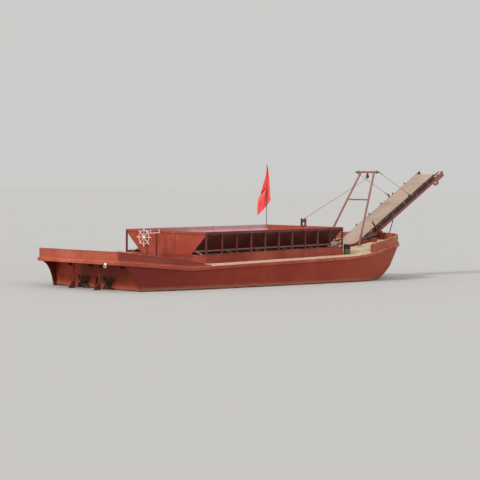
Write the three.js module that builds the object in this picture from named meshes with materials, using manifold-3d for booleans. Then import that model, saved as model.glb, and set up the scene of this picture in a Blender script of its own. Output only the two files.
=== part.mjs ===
// River barge with a V-bottomed sand hopper and a luffing discharge boom.
// Millimetres, X forward, Y to port, Z up. The flat bottom lies on Z = 0, the origin amidships.
// Stations run forward from the aft end of the hopper. Heights are above the flat deck.

import * as THREE from 'three';
import { ConvexGeometry } from 'three/addons/geometries/ConvexGeometry.js';
import { mergeVertices } from 'three/addons/utils/BufferGeometryUtils.js';
import Module from 'manifold-3d';

const wasm = await Module();
wasm.setup();

// Driving dimensions

const FRAME_BAYS = 10;
const BAY = 1400;
const HOPPER_LENGTH = FRAME_BAYS * BAY;
const HOPPER_AFT = -8000;
const HALF_BEAM = 3850;
const DEPTH = 1950;
const GAP = 0.3;

const PLATFORM_END = -7450;
const TRANSOM = -5750;
const STERN_TAPER_START = -1000;
const STERN_TAPER_RADIUS = 27260;
const STERN_CORNER = 250;
const BOW_START = 16000;
const BOW_SIDE_RADIUS = 20000;
const BOW_NOSE_RADIUS = 3400;
const BILGE_RADIUS = 350;

const DECK_EDGE = 280;
const RAIL_TOP = 80;
const RAIL_OUT = 90;
const BULWARK = 50;

const HOPPER_HALF = 3230;
const COAMING = 500;
const RIM_LOW = 1720;
const RIM_HIGH = 1850;
const POST = 90;
const PLATE = 40;
const SIDE_PLATE = 50;
const SIDE_KNEE = 1620;
const TUNNEL_HALF = 600;
const TUNNEL_FLOOR = -1500;

const WELL_HALF = 1150;
const WELL_DEEP_END = 19200;
const WELL_END = 21300;

const BOOM_PIVOT = { station: 18750, height: 50 };
const BOOM_ANGLE = THREE.MathUtils.degToRad(25);
const BOOM_HEAD = 12570;
const BOOM_END = 13300;
const BOOM_HALF = 880;
const BELT_HALF = 780;
const BELT = 20;
const PULLEY = 160;
const SHAFT_BORE = 46.6;

const station = (s) => HOPPER_AFT + s;
const height = (h) => DEPTH + h;

// Colours: sunlit red paint in several shades, sandy rubber, dull steel

const PAINT = {
  hull: ['#8a3427', 0.62, 0.1],
  side: ['#a8492f', 0.6, 0.1],
  hopper: ['#a3412f', 0.6, 0.1],
  plate: ['#8f5550', 0.65, 0.15],
  frame: ['#8e3a32', 0.6, 0.1],
  boom: ['#b2584f', 0.6, 0.1],
  belt: ['#b7a490', 0.9, 0.0],
  steel: ['#4a4542', 0.5, 0.7],
  white: ['#e6e2d8', 0.5, 0.0],
  black: ['#1e211b', 0.6, 0.1],
  bronze: ['#54402a', 0.5, 0.7],
  rope: ['#5c544a', 0.85, 0.0],
  flag: ['#e8484a', 0.8, 0.0],
};

// Solids: each helper gives a manifold that can be joined, cut or kept in common

function solid(geometry) {
  const g = geometry.index ? geometry.toNonIndexed() : geometry;
  g.deleteAttribute('normal');
  g.deleteAttribute('uv');
  const welded = mergeVertices(g, 1e-3);
  const mesh = new wasm.Mesh({
    numProp: 3,
    vertProperties: new Float32Array(welded.attributes.position.array),
    triVerts: new Uint32Array(welded.index.array),
  });
  return new wasm.Manifold(mesh);
}

function box(x0, x1, y0, y1, z0, z1) {
  const g = new THREE.BoxGeometry(x1 - x0, y1 - y0, z1 - z0);
  return solid(g.translate((x0 + x1) / 2, (y0 + y1) / 2, (z0 + z1) / 2));
}

function shapeOf(points) {
  return new THREE.Shape(points.map(([a, b]) => new THREE.Vector2(a, b)));
}

function extrude(shape, depth, curveSegments = 6) {
  return new THREE.ExtrudeGeometry(shape, { depth, bevelEnabled: false, curveSegments });
}

// A plan shape (X, Y) raised from z0 to z1
function planSolid(shape, z0, z1, curveSegments) {
  return solid(extrude(shape, z1 - z0, curveSegments).translate(0, 0, z0));
}

// A side shape (X, Z) run across from y0 to y1
function sideSolid(shape, y0, y1, curveSegments) {
  return solid(extrude(shape, y1 - y0, curveSegments).rotateX(Math.PI / 2).translate(0, y1, 0));
}

// A cross-section (Y, Z) run along from x0 to x1
function sectionSolid(shape, x0, x1, curveSegments) {
  const turn = new THREE.Matrix4().makeBasis(
    new THREE.Vector3(0, 1, 0),
    new THREE.Vector3(0, 0, 1),
    new THREE.Vector3(1, 0, 0),
  );
  return solid(extrude(shape, x1 - x0, curveSegments).applyMatrix4(turn).translate(x0, 0, 0));
}

function aim(geometry, from, to) {
  const a = new THREE.Vector3(...from);
  const b = new THREE.Vector3(...to);
  const turn = new THREE.Quaternion().setFromUnitVectors(
    new THREE.Vector3(0, 0, 1),
    b.clone().sub(a).normalize(),
  );
  const middle = a.clone().add(b).multiplyScalar(0.5);
  return solid(geometry.applyQuaternion(turn).translate(middle.x, middle.y, middle.z));
}

function reach(from, to) {
  return new THREE.Vector3(...from).distanceTo(new THREE.Vector3(...to));
}

function rod(from, to, radius, segments = 12) {
  const g = new THREE.CylinderGeometry(radius, radius, reach(from, to), segments);
  return aim(g.rotateX(Math.PI / 2), from, to);
}

function bar(from, to, width, depth = width) {
  return aim(new THREE.BoxGeometry(width, depth, reach(from, to)), from, to);
}

function join(...parts) {
  return parts.flat().reduce((whole, part) => whole.add(part));
}

function cut(body, ...tools) {
  return tools.flat().reduce((left, tool) => left.subtract(tool), body);
}

function mirrorY(body) {
  return body.mirror([0, 1, 0]);
}

function toGeometry(body) {
  const mesh = body.getMesh();
  const g = new THREE.BufferGeometry();
  g.setAttribute('position', new THREE.BufferAttribute(mesh.vertProperties, 3));
  g.setIndex(new THREE.BufferAttribute(mesh.triVerts, 1));
  g.computeVertexNormals();
  return g;
}

const barge = new THREE.Group();

function add(name, body, finish, place = barge) {
  const [color, roughness, metalness] = PAINT[finish];
  const material = new THREE.MeshStandardMaterial({ color, roughness, metalness });
  const mesh = new THREE.Mesh(toGeometry(body), material);
  mesh.name = name;
  place.add(mesh);
  return mesh;
}

const SIDES = [
  { side: 'port', s: 1 },
  { side: 'starboard', s: -1 },
];

function sided(body, s) {
  return s > 0 ? body : mirrorY(body);
}

// Lines of the hull: one plan outline and one sheer line serve the hull, rail and bulwarks

function deckOutline(inset) {
  const right = Math.PI / 2;
  const bowRest = BOW_SIDE_RADIUS - BOW_NOSE_RADIUS;
  const bowTurn = Math.acos((BOW_SIDE_RADIUS - HALF_BEAM) / bowRest);
  const noseX = station(BOW_START) + bowRest * Math.sin(bowTurn);
  const bowX = station(BOW_START);
  const bowY = BOW_SIDE_RADIUS - HALF_BEAM;
  const taperX = station(STERN_TAPER_START);
  const taperY = STERN_TAPER_RADIUS - HALF_BEAM;
  const cornerRest = STERN_TAPER_RADIUS - STERN_CORNER;
  const cornerX = station(PLATFORM_END + STERN_CORNER);
  const cornerTurn = Math.asin((taperX - cornerX) / cornerRest);
  const cornerY = cornerRest * Math.cos(cornerTurn) - taperY;
  const shape = new THREE.Shape();
  const arc = (x, y, radius, from, to) => shape.absarc(x, y, radius - inset, from, to);
  arc(noseX, 0, BOW_NOSE_RADIUS, bowTurn - right, right - bowTurn);
  arc(bowX, -bowY, BOW_SIDE_RADIUS, right - bowTurn, right);
  arc(taperX, -taperY, STERN_TAPER_RADIUS, right, right + cornerTurn);
  arc(cornerX, cornerY, STERN_CORNER, right + cornerTurn, 2 * right);
  arc(cornerX, -cornerY, STERN_CORNER, 2 * right, 3 * right - cornerTurn);
  arc(taperX, taperY, STERN_TAPER_RADIUS, 3 * right - cornerTurn, 3 * right);
  arc(bowX, bowY, BOW_SIDE_RADIUS, 3 * right, 3 * right + bowTurn);
  return shape;
}

// Deck height along the centreline: station, height
const SHEER = [
  [-7600, 523],
  [-2200, 0],
  [14800, 0],
  [15900, 65],
  [17000, 190],
  [20000, 520],
  [21800, 660],
  [24000, 720],
];

function sheerHeight(s) {
  const i = Math.max(1, SHEER.findIndex(([end]) => end >= s));
  const [s0, h0] = SHEER[i - 1];
  const [s1, h1] = SHEER[i];
  return h0 + ((h1 - h0) * (s - s0)) / (s1 - s0);
}

function sheerSlope(s) {
  return Math.atan2(sheerHeight(s + 1) - sheerHeight(s - 1), 2);
}

function sheerPoints(from, to, lift) {
  const between = SHEER.map(([s]) => s).filter((s) => s > from && s < to);
  return [from, ...between, to].map((s) => [station(s), height(sheerHeight(s) + lift)]);
}

// The stretch between two lines parallel to the sheer, across the whole beam
function sheerBand(from, to, low, high) {
  const outline = [...sheerPoints(from, to, low), ...sheerPoints(from, to, high).reverse()];
  return sideSolid(shapeOf(outline), -5000, 5000);
}

function ring(outer, inner) {
  return cut(planSolid(deckOutline(outer), -500, 5000), planSolid(deckOutline(inner), -600, 5100));
}

// Hull

function hullProfile() {
  const shape = new THREE.Shape();
  const aft = PLATFORM_END - 100;
  shape.moveTo(station(TRANSOM), 0);
  shape.lineTo(station(24000), 0);
  sheerPoints(aft, 24000, 0).reverse().forEach(([x, z]) => shape.lineTo(x, z));
  shape.lineTo(station(aft), height(sheerHeight(aft) - DECK_EDGE));
  shape.lineTo(station(TRANSOM), height(sheerHeight(TRANSOM) - DECK_EDGE));
  return shape;
}

// The spoon bow: below the rail the deck outline moves aft by these amounts at these levels
const BOW_LEVELS = [
  { z: 960, aft: 1020 },
  { z: 630, aft: 1450 },
  { z: 360, aft: 1890 },
  { z: 0, aft: 2760 },
];

function bowSolid() {
  const outline = deckOutline(0).getPoints(6);
  const bow = outline.filter(({ x }) => x > station(BOW_START) - 1);
  const points = [];
  for (const { x, y } of bow) {
    const s = x - HOPPER_AFT;
    points.push(new THREE.Vector3(x, y, 5000), new THREE.Vector3(x, y, height(sheerHeight(s) - DECK_EDGE)));
    BOW_LEVELS.forEach(({ z, aft }) => points.push(new THREE.Vector3(x - aft, y, z)));
  }
  for (const y of [-HALF_BEAM, HALF_BEAM]) {
    points.push(new THREE.Vector3(-20000, y, 0), new THREE.Vector3(-20000, y, 5000));
  }
  return solid(new ConvexGeometry(points));
}

function midshipSection() {
  const shape = new THREE.Shape();
  const flat = HALF_BEAM - BILGE_RADIUS;
  shape.absarc(flat, BILGE_RADIUS, BILGE_RADIUS, -Math.PI / 2, 0);
  shape.lineTo(HALF_BEAM, 5000);
  shape.lineTo(-HALF_BEAM, 5000);
  shape.absarc(-flat, BILGE_RADIUS, BILGE_RADIUS, Math.PI, 1.5 * Math.PI);
  return shape;
}

// Plates under the stern overhang, in line with the hull sides, with an elliptical edge
function sternWings() {
  const low = height(-1600);
  const aft = station(-7250);
  const shape = new THREE.Shape();
  shape.moveTo(station(TRANSOM) + 10, 0);
  shape.lineTo(station(TRANSOM) + 10, height(sheerHeight(TRANSOM) - DECK_EDGE + 10));
  shape.lineTo(aft, height(sheerHeight(-7250) - DECK_EDGE + 10));
  shape.absellipse(aft, low, 1270, height(200) - low, Math.PI / 2, 0, true);
  shape.lineTo(aft + 1270, 0);
  return sideSolid(shape, -5000, 5000, 8).intersect(ring(0, 60));
}

// Inner face of the hopper's sides: upright below the rim, then 45 degrees down to the tunnel
const RIM_HALF = HOPPER_HALF - POST - SIDE_PLATE;
const TUNNEL_TOP = SIDE_KNEE - (RIM_HALF - TUNNEL_HALF);
const slopeY = (h) => TUNNEL_HALF + (h - TUNNEL_TOP);

function mirroredSection(half) {
  return shapeOf([...half, ...half.map(([y, z]) => [-y, z]).reverse()]);
}

function troughSection(slack) {
  const top = 400;
  return mirroredSection([
    [TUNNEL_HALF + slack, height(TUNNEL_FLOOR)],
    [TUNNEL_HALF + slack, height(TUNNEL_TOP)],
    [slopeY(top) + slack, height(top)],
  ]);
}

function buildHull() {
  const plan = planSolid(deckOutline(0), -10, 5000);
  const profile = sideSolid(hullProfile(), -5000, 5000, 5);
  const section = sectionSolid(midshipSection(), -20000, 20000, 3);
  const body = plan.intersect(profile).intersect(section).intersect(bowSolid());
  const across = [-WELL_HALF, WELL_HALF];
  const wells = [
    sectionSolid(
      troughSection(SIDE_PLATE + 2),
      station(-PLATE - GAP),
      station(HOPPER_LENGTH + PLATE + GAP),
    ),
    box(station(HOPPER_LENGTH), station(WELL_DEEP_END), ...across, height(TUNNEL_FLOOR), 4000),
    box(station(WELL_DEEP_END) - 200, station(WELL_END), ...across, height(-350), 4000),
    box(station(-5100), station(-3300), -750, 750, height(-600), 4000),
  ];
  return cut(join(body, sternWings()), wells);
}

add('hull', buildHull(), 'hull');

// Rail and bulwarks

function rubRail() {
  return ring(-RAIL_OUT, -GAP).intersect(sheerBand(-7600, 23900, -DECK_EDGE, -RAIL_TOP));
}

add('rub_rail', rubRail(), 'side');

function sternBulwark() {
  const top = [[-7550, 950], [-4180, 555], [-1990, 285], [-730, 20]];
  const outline = [
    ...sheerPoints(-7550, -730, GAP),
    ...top.map(([s, h]) => [station(s), height(h)]).reverse(),
  ];
  return sideSolid(shapeOf(outline), -5000, 5000).intersect(ring(0, BULWARK));
}

function bowBulwark() {
  return sheerBand(16600, 23600, GAP, 490).intersect(ring(0, BULWARK));
}

add('stern_bulwark', sternBulwark(), 'side');
add('bow_bulwark', bowBulwark(), 'side');

// Hopper: coaming, sloping sides, end walls and the open framework around them

function coaming() {
  const t = 40;
  const x0 = station(-POST);
  const x1 = station(HOPPER_LENGTH + POST);
  const outer = box(x0, x1, -HOPPER_HALF, HOPPER_HALF, height(GAP), height(COAMING));
  const inner = box(x0 + t, x1 - t, t - HOPPER_HALF, HOPPER_HALF - t, height(-10), height(COAMING + 10));
  const conveyorWay = box(x1 - t - 10, x1 + 10, -WELL_HALF - 2, WELL_HALF + 2, 0, 4000);
  return cut(outer, inner, conveyorWay);
}

add('hopper_coaming', coaming(), 'hopper');

function sidePlate(s) {
  const out = SIDE_PLATE - GAP;
  const inner = [
    [TUNNEL_HALF, height(TUNNEL_TOP)],
    [RIM_HALF, height(SIDE_KNEE)],
    [RIM_HALF, height(RIM_HIGH)],
  ];
  const shape = shapeOf([...inner, ...inner.map(([y, z]) => [y + out, z]).reverse()]);
  return sided(sectionSolid(shape, station(GAP), station(HOPPER_LENGTH - GAP)), s);
}

for (const { side, s } of SIDES) {
  add(`hopper_side_${side}`, sidePlate(s), 'plate');
}

// An end wall stands between x0 and x1, with two stiffeners and a rim that reach out to x2
function endWall(x0, x1, x2) {
  const half = [
    [TUNNEL_HALF, height(TUNNEL_FLOOR + GAP)],
    [TUNNEL_HALF, height(TUNNEL_TOP)],
    [HOPPER_HALF - POST, height(SIDE_KNEE)],
    [HOPPER_HALF - POST, height(RIM_HIGH)],
  ];
  const [low, high] = [Math.min(x0, x2), Math.max(x1, x2)];
  const across = HOPPER_HALF - POST;
  const rim = box(low, high, -across, across, height(RIM_LOW), height(RIM_HIGH));
  const stiffeners = [-700, 700].map((y) =>
    box(low, high, y - 40, y + 40, height(COAMING + 80), height(RIM_HIGH)));
  return join(sectionSolid(mirroredSection(half), x0, x1), rim, stiffeners);
}

function forwardWall() {
  const x = station(HOPPER_LENGTH);
  const conveyorWay = box(x - 50, x + POST + 10, -540, 540, 0, height(-400));
  return cut(endWall(x, x + PLATE, x + POST), conveyorWay);
}

add('hopper_end_aft', endWall(station(-PLATE), station(0), station(-POST)), 'hopper');
add('hopper_end_forward', forwardWall(), 'hopper');

function sideFrame(s) {
  const y1 = HOPPER_HALF;
  const y0 = HOPPER_HALF - POST;
  const x0 = station(-POST);
  const x1 = station(HOPPER_LENGTH + POST);
  const stringer = { low: 640, high: 730, y: slopeY(730) + SIDE_PLATE };
  const foot = COAMING + GAP;
  const parts = [
    box(x0, x1, y0 + GAP, y1, height(RIM_LOW), height(RIM_HIGH)),
    box(x0, x1, y0 + GAP, y1, height(foot), height(COAMING + 60)),
    box(
      station(GAP), station(HOPPER_LENGTH - GAP),
      stringer.y, stringer.y + 70, height(stringer.low), height(stringer.high),
    ),
  ];
  for (let i = 0; i <= FRAME_BAYS; i += 1) {
    const shift = i === 0 ? -POST / 2 : i === FRAME_BAYS ? POST / 2 : 0;
    const x = station(i * BAY) + shift;
    parts.push(box(x - POST / 2, x + POST / 2, y0 + GAP, y1, height(COAMING + 30), height(RIM_LOW + 30)));
  }
  const strutFoot = 2780;
  for (let i = 0; i <= FRAME_BAYS; i += 2) {
    const shift = i === 0 ? 60 : i === FRAME_BAYS ? -60 : 0;
    const x = station(i * BAY) + shift;
    parts.push(bar([x, stringer.y + 40, height(690)], [x, strutFoot, height(COAMING + 20)], 50));
    parts.push(box(x - 50, x + 50, strutFoot - 60, y0 + 20, height(foot), height(COAMING + 25)));
  }
  return sided(join(parts), s);
}

for (const { side, s } of SIDES) {
  add(`hopper_frame_${side}`, sideFrame(s), 'frame');
}

// Hold conveyor: one belt along the bottom of the hopper and up to the boom

function beltLoop(points, radius, thickness, half) {
  const [tail, bend, head] = points;
  const rise = Math.atan2(head[1] - bend[1], head[0] - bend[0]);
  const loop = (r) => {
    const shape = new THREE.Shape();
    const k = Math.tan(rise / 2);
    shape.absarc(tail[0], tail[1], r, Math.PI / 2, 1.5 * Math.PI);
    shape.lineTo(bend[0] + r * k, bend[1] - r);
    shape.absarc(head[0], head[1], r, rise - Math.PI / 2, rise + Math.PI / 2);
    shape.lineTo(bend[0] - r * k, bend[1] + r);
    return shape;
  };
  return cut(
    sideSolid(loop(radius + thickness), -half, half, 5),
    sideSolid(loop(radius), -half - 10, half + 10, 5),
  );
}

const HOLD_TAIL = [station(500), height(-1300)];
const HOLD_BEND = [station(13200), height(-1300)];
const HOLD_HEAD = [station(17850), height(560)];
const HOLD_PULLEY = 110;

add('hold_belt', beltLoop([HOLD_TAIL, HOLD_BEND, HOLD_HEAD], HOLD_PULLEY, 15, 450), 'belt');

// The belt's bends are flats, so a pulley is that much smaller
const SNUG = Math.cos(Math.PI / 20);

function pulley(x, z, radius, half, shaft) {
  const drum = rod([x, -half, z], [x, half, z], radius * SNUG - GAP, 24);
  return join(drum, rod([x, -shaft, z], [x, shaft, z], 45, 24));
}

function shaftBore(x, z) {
  return rod([x, -2000, z], [x, 2000, z], SHAFT_BORE, 24);
}

// Girders beside the hold belt, with its idlers and legs
function holdGirders() {
  const path = [[300, -1300], [13200, -1300], [17990, 616]];
  const edge = (lift) => path.map(([x, h]) => [station(x), height(h + lift)]);
  const outline = shapeOf([...edge(-70), ...edge(60).reverse()]);
  const parts = [460, -520].map((y) => sideSolid(outline, y, y + 60));
  for (let x = 1700; x < 13000; x += 1870) {
    const z = height(-1300) + HOLD_PULLEY - GAP - 35;
    parts.push(rod([station(x), -490, z], [station(x), 490, z], 35, 10));
    parts.push(box(station(x) - 60, station(x) + 60, 460, 520, height(TUNNEL_FLOOR) + GAP, height(-1300)));
    parts.push(box(station(x) - 60, station(x) + 60, -520, -460, height(TUNNEL_FLOOR) + GAP, height(-1300)));
  }
  for (const y of [460, -520]) {
    parts.push(box(station(17300), station(17420), y, y + 60, height(TUNNEL_FLOOR) + GAP, height(340)));
  }
  return cut(join(parts), shaftBore(...HOLD_TAIL), shaftBore(...HOLD_HEAD));
}

add('hold_conveyor_frame', holdGirders(), 'frame');

add('hold_tail_pulley', pulley(...HOLD_TAIL, HOLD_PULLEY, 440, 560), 'steel');
add('hold_head_pulley', pulley(...HOLD_HEAD, HOLD_PULLEY, 440, 560), 'steel');

// Boom: built along X from its pivot, then laid at its angle

const boom = new THREE.Group();
boom.position.set(station(BOOM_PIVOT.station), 0, height(BOOM_PIVOT.height));
boom.rotation.y = -BOOM_ANGLE;
barge.add(boom);

const BOOM_FOOT = 3100;
const BOOM_TOP = 120;
const BOOM_LOW = -400;
const LOW_CHORD = 200;
const CHORD = 60;
const STRUTS = [4100, 5900, 7700, 9500, 11300];

function boomSideTruss(s) {
  const y = s * (BOOM_HALF - CHORD / 2);
  const top = BOOM_TOP - CHORD / 2;
  const low = BOOM_LOW + LOW_CHORD / 2;
  const plate = (x0, x1, z0, z1) => box(x0, x1, y - CHORD / 2, y + CHORD / 2, z0, z1);
  return [
    plate(-150, BOOM_END, BOOM_TOP - CHORD, BOOM_TOP),
    plate(BOOM_FOOT, BOOM_END, BOOM_LOW, BOOM_LOW + LOW_CHORD),
    plate(-180, 180, -150, BOOM_TOP),
    plate(BOOM_HEAD - 300, BOOM_END, BOOM_LOW, BOOM_TOP),
    bar([300, y, top - 20], [BOOM_FOOT + 60, y, low], CHORD, 110),
    ...STRUTS.map((x) => plate(x - 30, x + 30, low, top)),
  ];
}

// Brackets that guide the belt's edge on the port side
const GUIDES = [3600, 5450, 7250, 9050, 10900];

function beltGuides() {
  const y = BOOM_HALF;
  return GUIDES.flatMap((x) => [
    box(x - 40, x + 40, y - 10, y + 30, 70, 240),
    rod([x, y, 215], [x, y + 70, 215], 35, 12),
  ]);
}

// Lugs where the luffing ropes hold the boom
const LUG = { along: 8480, pin: 330 };
const ROPE = 14;
const ROPE_ACROSS = BOOM_HALF + 112;

function boomLug(s) {
  const x = LUG.along;
  const body = join(
    box(x - 130, x + 130, BOOM_HALF - 10, BOOM_HALF + 30, 65, 120),
    box(x - 60, x + 60, BOOM_HALF - 10, BOOM_HALF + 30, 110, LUG.pin + 50),
    rod([x, BOOM_HALF, LUG.pin], [x, ROPE_ACROSS - ROPE - GAP, LUG.pin], 30, 16),
  );
  return sided(body, s);
}

function boomFrame() {
  const parts = [...boomSideTruss(1), ...boomSideTruss(-1), ...beltGuides(), boomLug(1), boomLug(-1)];
  const idlerZ = PULLEY - GAP - 45;
  for (let x = 1200; x < BOOM_HEAD - 400; x += 1430) {
    parts.push(rod([x, 20 - BOOM_HALF, idlerZ], [x, BOOM_HALF - 20, idlerZ], 45, 10));
  }
  for (const x of [BOOM_FOOT + 40, ...STRUTS, BOOM_END - 40]) {
    parts.push(box(x - 40, x + 40, -BOOM_HALF, BOOM_HALF, BOOM_LOW, BOOM_LOW + 120));
  }
  return cut(join(parts), shaftBore(0, 0), shaftBore(BOOM_HEAD, 0));
}

add('boom_frame', boomFrame(), 'boom', boom);
const BOOM_RUN = [[0, 0], [BOOM_HEAD / 2, 0], [BOOM_HEAD, 0]];

add('boom_belt', beltLoop(BOOM_RUN, PULLEY, BELT, BELT_HALF), 'belt', boom);
add('boom_tail_pulley', pulley(0, 0, PULLEY, BELT_HALF - 10, WELL_HALF - 10), 'steel', boom);
add('boom_head_pulley', pulley(BOOM_HEAD, 0, PULLEY, BELT_HALF - 10, BOOM_HALF + 90), 'steel', boom);

// Gearbox and motor on the starboard side of the boom's head
function gearbox() {
  const y = -BOOM_HALF - GAP;
  const motor = BOOM_HEAD - 230;
  const body = join(
    box(BOOM_HEAD - 240, BOOM_END + 150, y - 240, y, -350, 80),
    box(motor - 230, motor + 230, y - 220, y, -560, -330),
  );
  return cut(body, rod([BOOM_HEAD, y - 120, 0], [BOOM_HEAD, y + 50, 0], SHAFT_BORE, 24));
}

add('boom_gearbox', gearbox(), 'boom', boom);

// Bearings that carry the boom's foot on the walls of the well
for (const { side, s } of SIDES) {
  const x = station(BOOM_PIVOT.station);
  const z = height(BOOM_PIVOT.height);
  const block = cut(
    box(x - 170, x + 170, BOOM_HALF + 40, WELL_HALF - GAP, z - 220, z + 130),
    rod([x, BOOM_HALF, z], [x, WELL_HALF + 50, z], SHAFT_BORE, 24),
  );
  add(`boom_bearing_${side}`, sided(block, s), 'frame');
}

// Upstand along the sides and the forward end of the conveyor well
function wellCoaming() {
  const thick = 60;
  const aft = station(HOPPER_LENGTH + 4100);
  const frame = cut(
    box(aft, station(WELL_END) + thick, -WELL_HALF - thick, WELL_HALF + thick, 0, 5000),
    box(aft - 10, station(WELL_END), -WELL_HALF, WELL_HALF, -10, 5010),
  );
  return frame.intersect(sheerBand(16000, 24000, GAP, 200));
}

add('well_coaming', wellCoaming(), 'hopper');

// Sheer legs

const LEG_FOOT = { station: 18740, across: 1450 };
const LEG_HEAD = { station: 21950, across: 570, height: 5600 };
const CROSSBAR = 0.62;
const HEAD_BAR = ROPE_ACROSS - 200;

function legPoint(t, s) {
  const mix = THREE.MathUtils.lerp;
  return [
    station(mix(LEG_FOOT.station, LEG_HEAD.station, t)),
    s * mix(LEG_FOOT.across, LEG_HEAD.across, t),
    mix(height(sheerHeight(LEG_FOOT.station)), height(LEG_HEAD.height), t),
  ];
}

function sheerLegs() {
  const parts = [];
  for (const { s } of SIDES) {
    const [x, y, z] = legPoint(0, s);
    const foot = join(
      rod([x - 60, y, z - 100], legPoint(0.2, s), 75, 16),
      box(x - 220, x + 260, y - 160, y + 160, z - 200, z + 60),
    );
    parts.push(foot.intersect(sheerBand(16000, 24000, GAP, 3000)));
    parts.push(rod(legPoint(0.1, s), legPoint(1, s), 75, 16));
  }
  parts.push(rod(legPoint(CROSSBAR, 1), legPoint(CROSSBAR, -1), 55, 16));
  const [x, , z] = legPoint(1, 1);
  parts.push(bar([x, -HEAD_BAR, z], [x, HEAD_BAR, z], 150));
  for (const y of [-HEAD_BAR, HEAD_BAR]) {
    parts.push(box(x - 110, x + 110, y - 12, y + 12, z - 110, z + 110));
  }
  return join(parts);
}

add('sheer_legs', sheerLegs(), 'boom');

// Luffing ropes: from a pin at the head of the legs to the lugs on the boom

function boomPoint(along, lift) {
  const c = Math.cos(BOOM_ANGLE);
  const q = Math.sin(BOOM_ANGLE);
  return [
    station(BOOM_PIVOT.station) + along * c - lift * q,
    height(BOOM_PIVOT.height) + along * q + lift * c,
  ];
}

const HEAD = legPoint(1, 1);
const ROPE_TOP = [HEAD[0], HEAD[2]];
const ROPE_END = boomPoint(LUG.along, LUG.pin);

function luffingRope(s) {
  const [x0, z0] = ROPE_TOP;
  const [x1, z1] = ROPE_END;
  const y = s * ROPE_ACROSS;
  return join(
    rod([x0, y - 14, z0], [x0, y + 14, z0], 45, 16),
    rod([x0, y, z0], [x1, y, z1], ROPE, 8),
    rod([x1, y - 14, z1], [x1, y + 14, z1], 45, 16),
  );
}

for (const { side, s } of SIDES) {
  add(`luffing_rope_${side}`, luffingRope(s), 'rope');
  const [x, z] = ROPE_TOP;
  const inner = HEAD_BAR + 12 + GAP;
  const outer = ROPE_ACROSS - 14 - GAP;
  add(`luffing_pin_${side}`, rod([x, s * inner, z], [x, s * outer, z], 40, 16), 'steel');
}

// Purchase block under the head of the legs, and the rope from it to the winch

const BLOCK_Z = HEAD[2] - 320;

function purchaseBlock() {
  const [x] = HEAD;
  return join(
    rod([x, -45, BLOCK_Z], [x, 45, BLOCK_Z], 130, 20),
    box(x - 25, x + 25, -60, 60, BLOCK_Z, HEAD[2] - 75 - GAP),
  );
}

add('purchase_block', purchaseBlock(), 'steel');

// The winch stands on the middle of the forward rim, its drum across the barge
const WINCH = { station: HOPPER_LENGTH + POST / 2, drum: 350, barrel: 90 };

function winchPoint(lift) {
  return [station(WINCH.station), height(RIM_HIGH + GAP + lift)];
}

function winchFrame() {
  const [x, z] = winchPoint(0);
  const base = box(x - 150, x + 150, -190, 190, z, z + 30);
  const cheeks = [-155, 155].map((y) => box(x - 110, x + 110, y - 12, y + 12, z + 20, z + 500));
  return cut(join(base, cheeks), rod([x, -200, z + WINCH.drum], [x, 200, z + WINCH.drum], 25.4, 24));
}

function winchDrum() {
  const [x, z] = winchPoint(WINCH.drum);
  const disc = (y0, y1, r) => rod([x, y0, z], [x, y1, z], r, 24);
  const flanges = [disc(-130, -112, 150), disc(112, 130, 150)];
  return join(disc(-185, 185, 25), disc(-125, 125, WINCH.barrel), flanges);
}

add('winch_frame', winchFrame(), 'frame');
add('winch_drum', winchDrum(), 'steel');

function haulingRope() {
  const [x, z] = winchPoint(WINCH.drum);
  const r = WINCH.barrel + ROPE - 0.1;
  const top = [HEAD[0] - 45, 0, BLOCK_Z - 130 - ROPE];
  const rise = Math.atan2(top[2] - z, top[0] - x);
  return rod(top, [x - r * Math.sin(rise), 0, z + r * Math.cos(rise)], ROPE, 8);
}

add('hauling_rope', haulingRope(), 'rope');

// Rest that carries the boom over the bow, with a raked post beside the boom to starboard
const REST = { along: 3880, across: BOOM_HALF + 85 };
const RAKED_POST = { foot: [22950, 560], head: [21160, 2030] };

function boomRest() {
  const [x, z] = boomPoint(REST.along, BOOM_LOW - GAP);
  const tilt = -THREE.MathUtils.radToDeg(BOOM_ANGLE);
  const saddle = box(-60, 60, -REST.across - 40, REST.across + 40, -120, 0);
  const parts = [saddle.rotate([0, tilt, 0]).translate([x, 0, z])];
  for (const { s } of SIDES) {
    const y = s * REST.across;
    parts.push(bar([x, y, height(500)], [x, y, z - 40], 80));
  }
  const [foot, head] = [RAKED_POST.foot, RAKED_POST.head].map(([s, h]) =>
    [station(s), -REST.across, height(h)]);
  parts.push(bar(foot, head, 80));
  return join(parts).intersect(sheerBand(16000, 24000, GAP, 4000));
}

add('boom_rest', boomRest(), 'boom');

// Steering position: pedestal, wheel and the post with the engine levers

const WHEEL = { station: -1950, height: 1500, rim: 400, tip: 560, spokes: 8 };

function onDeck(s, lift = GAP) {
  return height(sheerHeight(s) + lift);
}

function pedestal() {
  const x = station(WHEEL.station + 190);
  const z = height(WHEEL.height);
  return join(
    box(x - 110, x + 110, -130, 130, onDeck(WHEEL.station), onDeck(WHEEL.station) + 30),
    box(x - 70, x + 70, -80, 80, onDeck(WHEEL.station), z + 90),
  );
}

add('helm_pedestal', pedestal(), 'hopper');

function helmWheel() {
  const rim = new THREE.TorusGeometry(WHEEL.rim, 18, 10, 40).rotateY(Math.PI / 2);
  const parts = [solid(rim), rod([-30, 0, 0], [30, 0, 0], 60, 16)];
  for (let i = 0; i < WHEEL.spokes; i += 1) {
    const a = (i * 2 * Math.PI) / WHEEL.spokes;
    const out = (r) => [0, r * Math.cos(a), r * Math.sin(a)];
    parts.push(rod(out(30), out(WHEEL.rim + 10), 14, 10), rod(out(WHEEL.rim), out(WHEEL.tip), 18, 10));
  }
  parts.push(rod([20, 0, 0], [120 - GAP, 0, 0], 28, 16));
  return join(parts);
}

const wheelMesh = add('helm_wheel', helmWheel(), 'white');
wheelMesh.position.set(station(WHEEL.station), 0, height(WHEEL.height));

const POST_STATION = -860;

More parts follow.
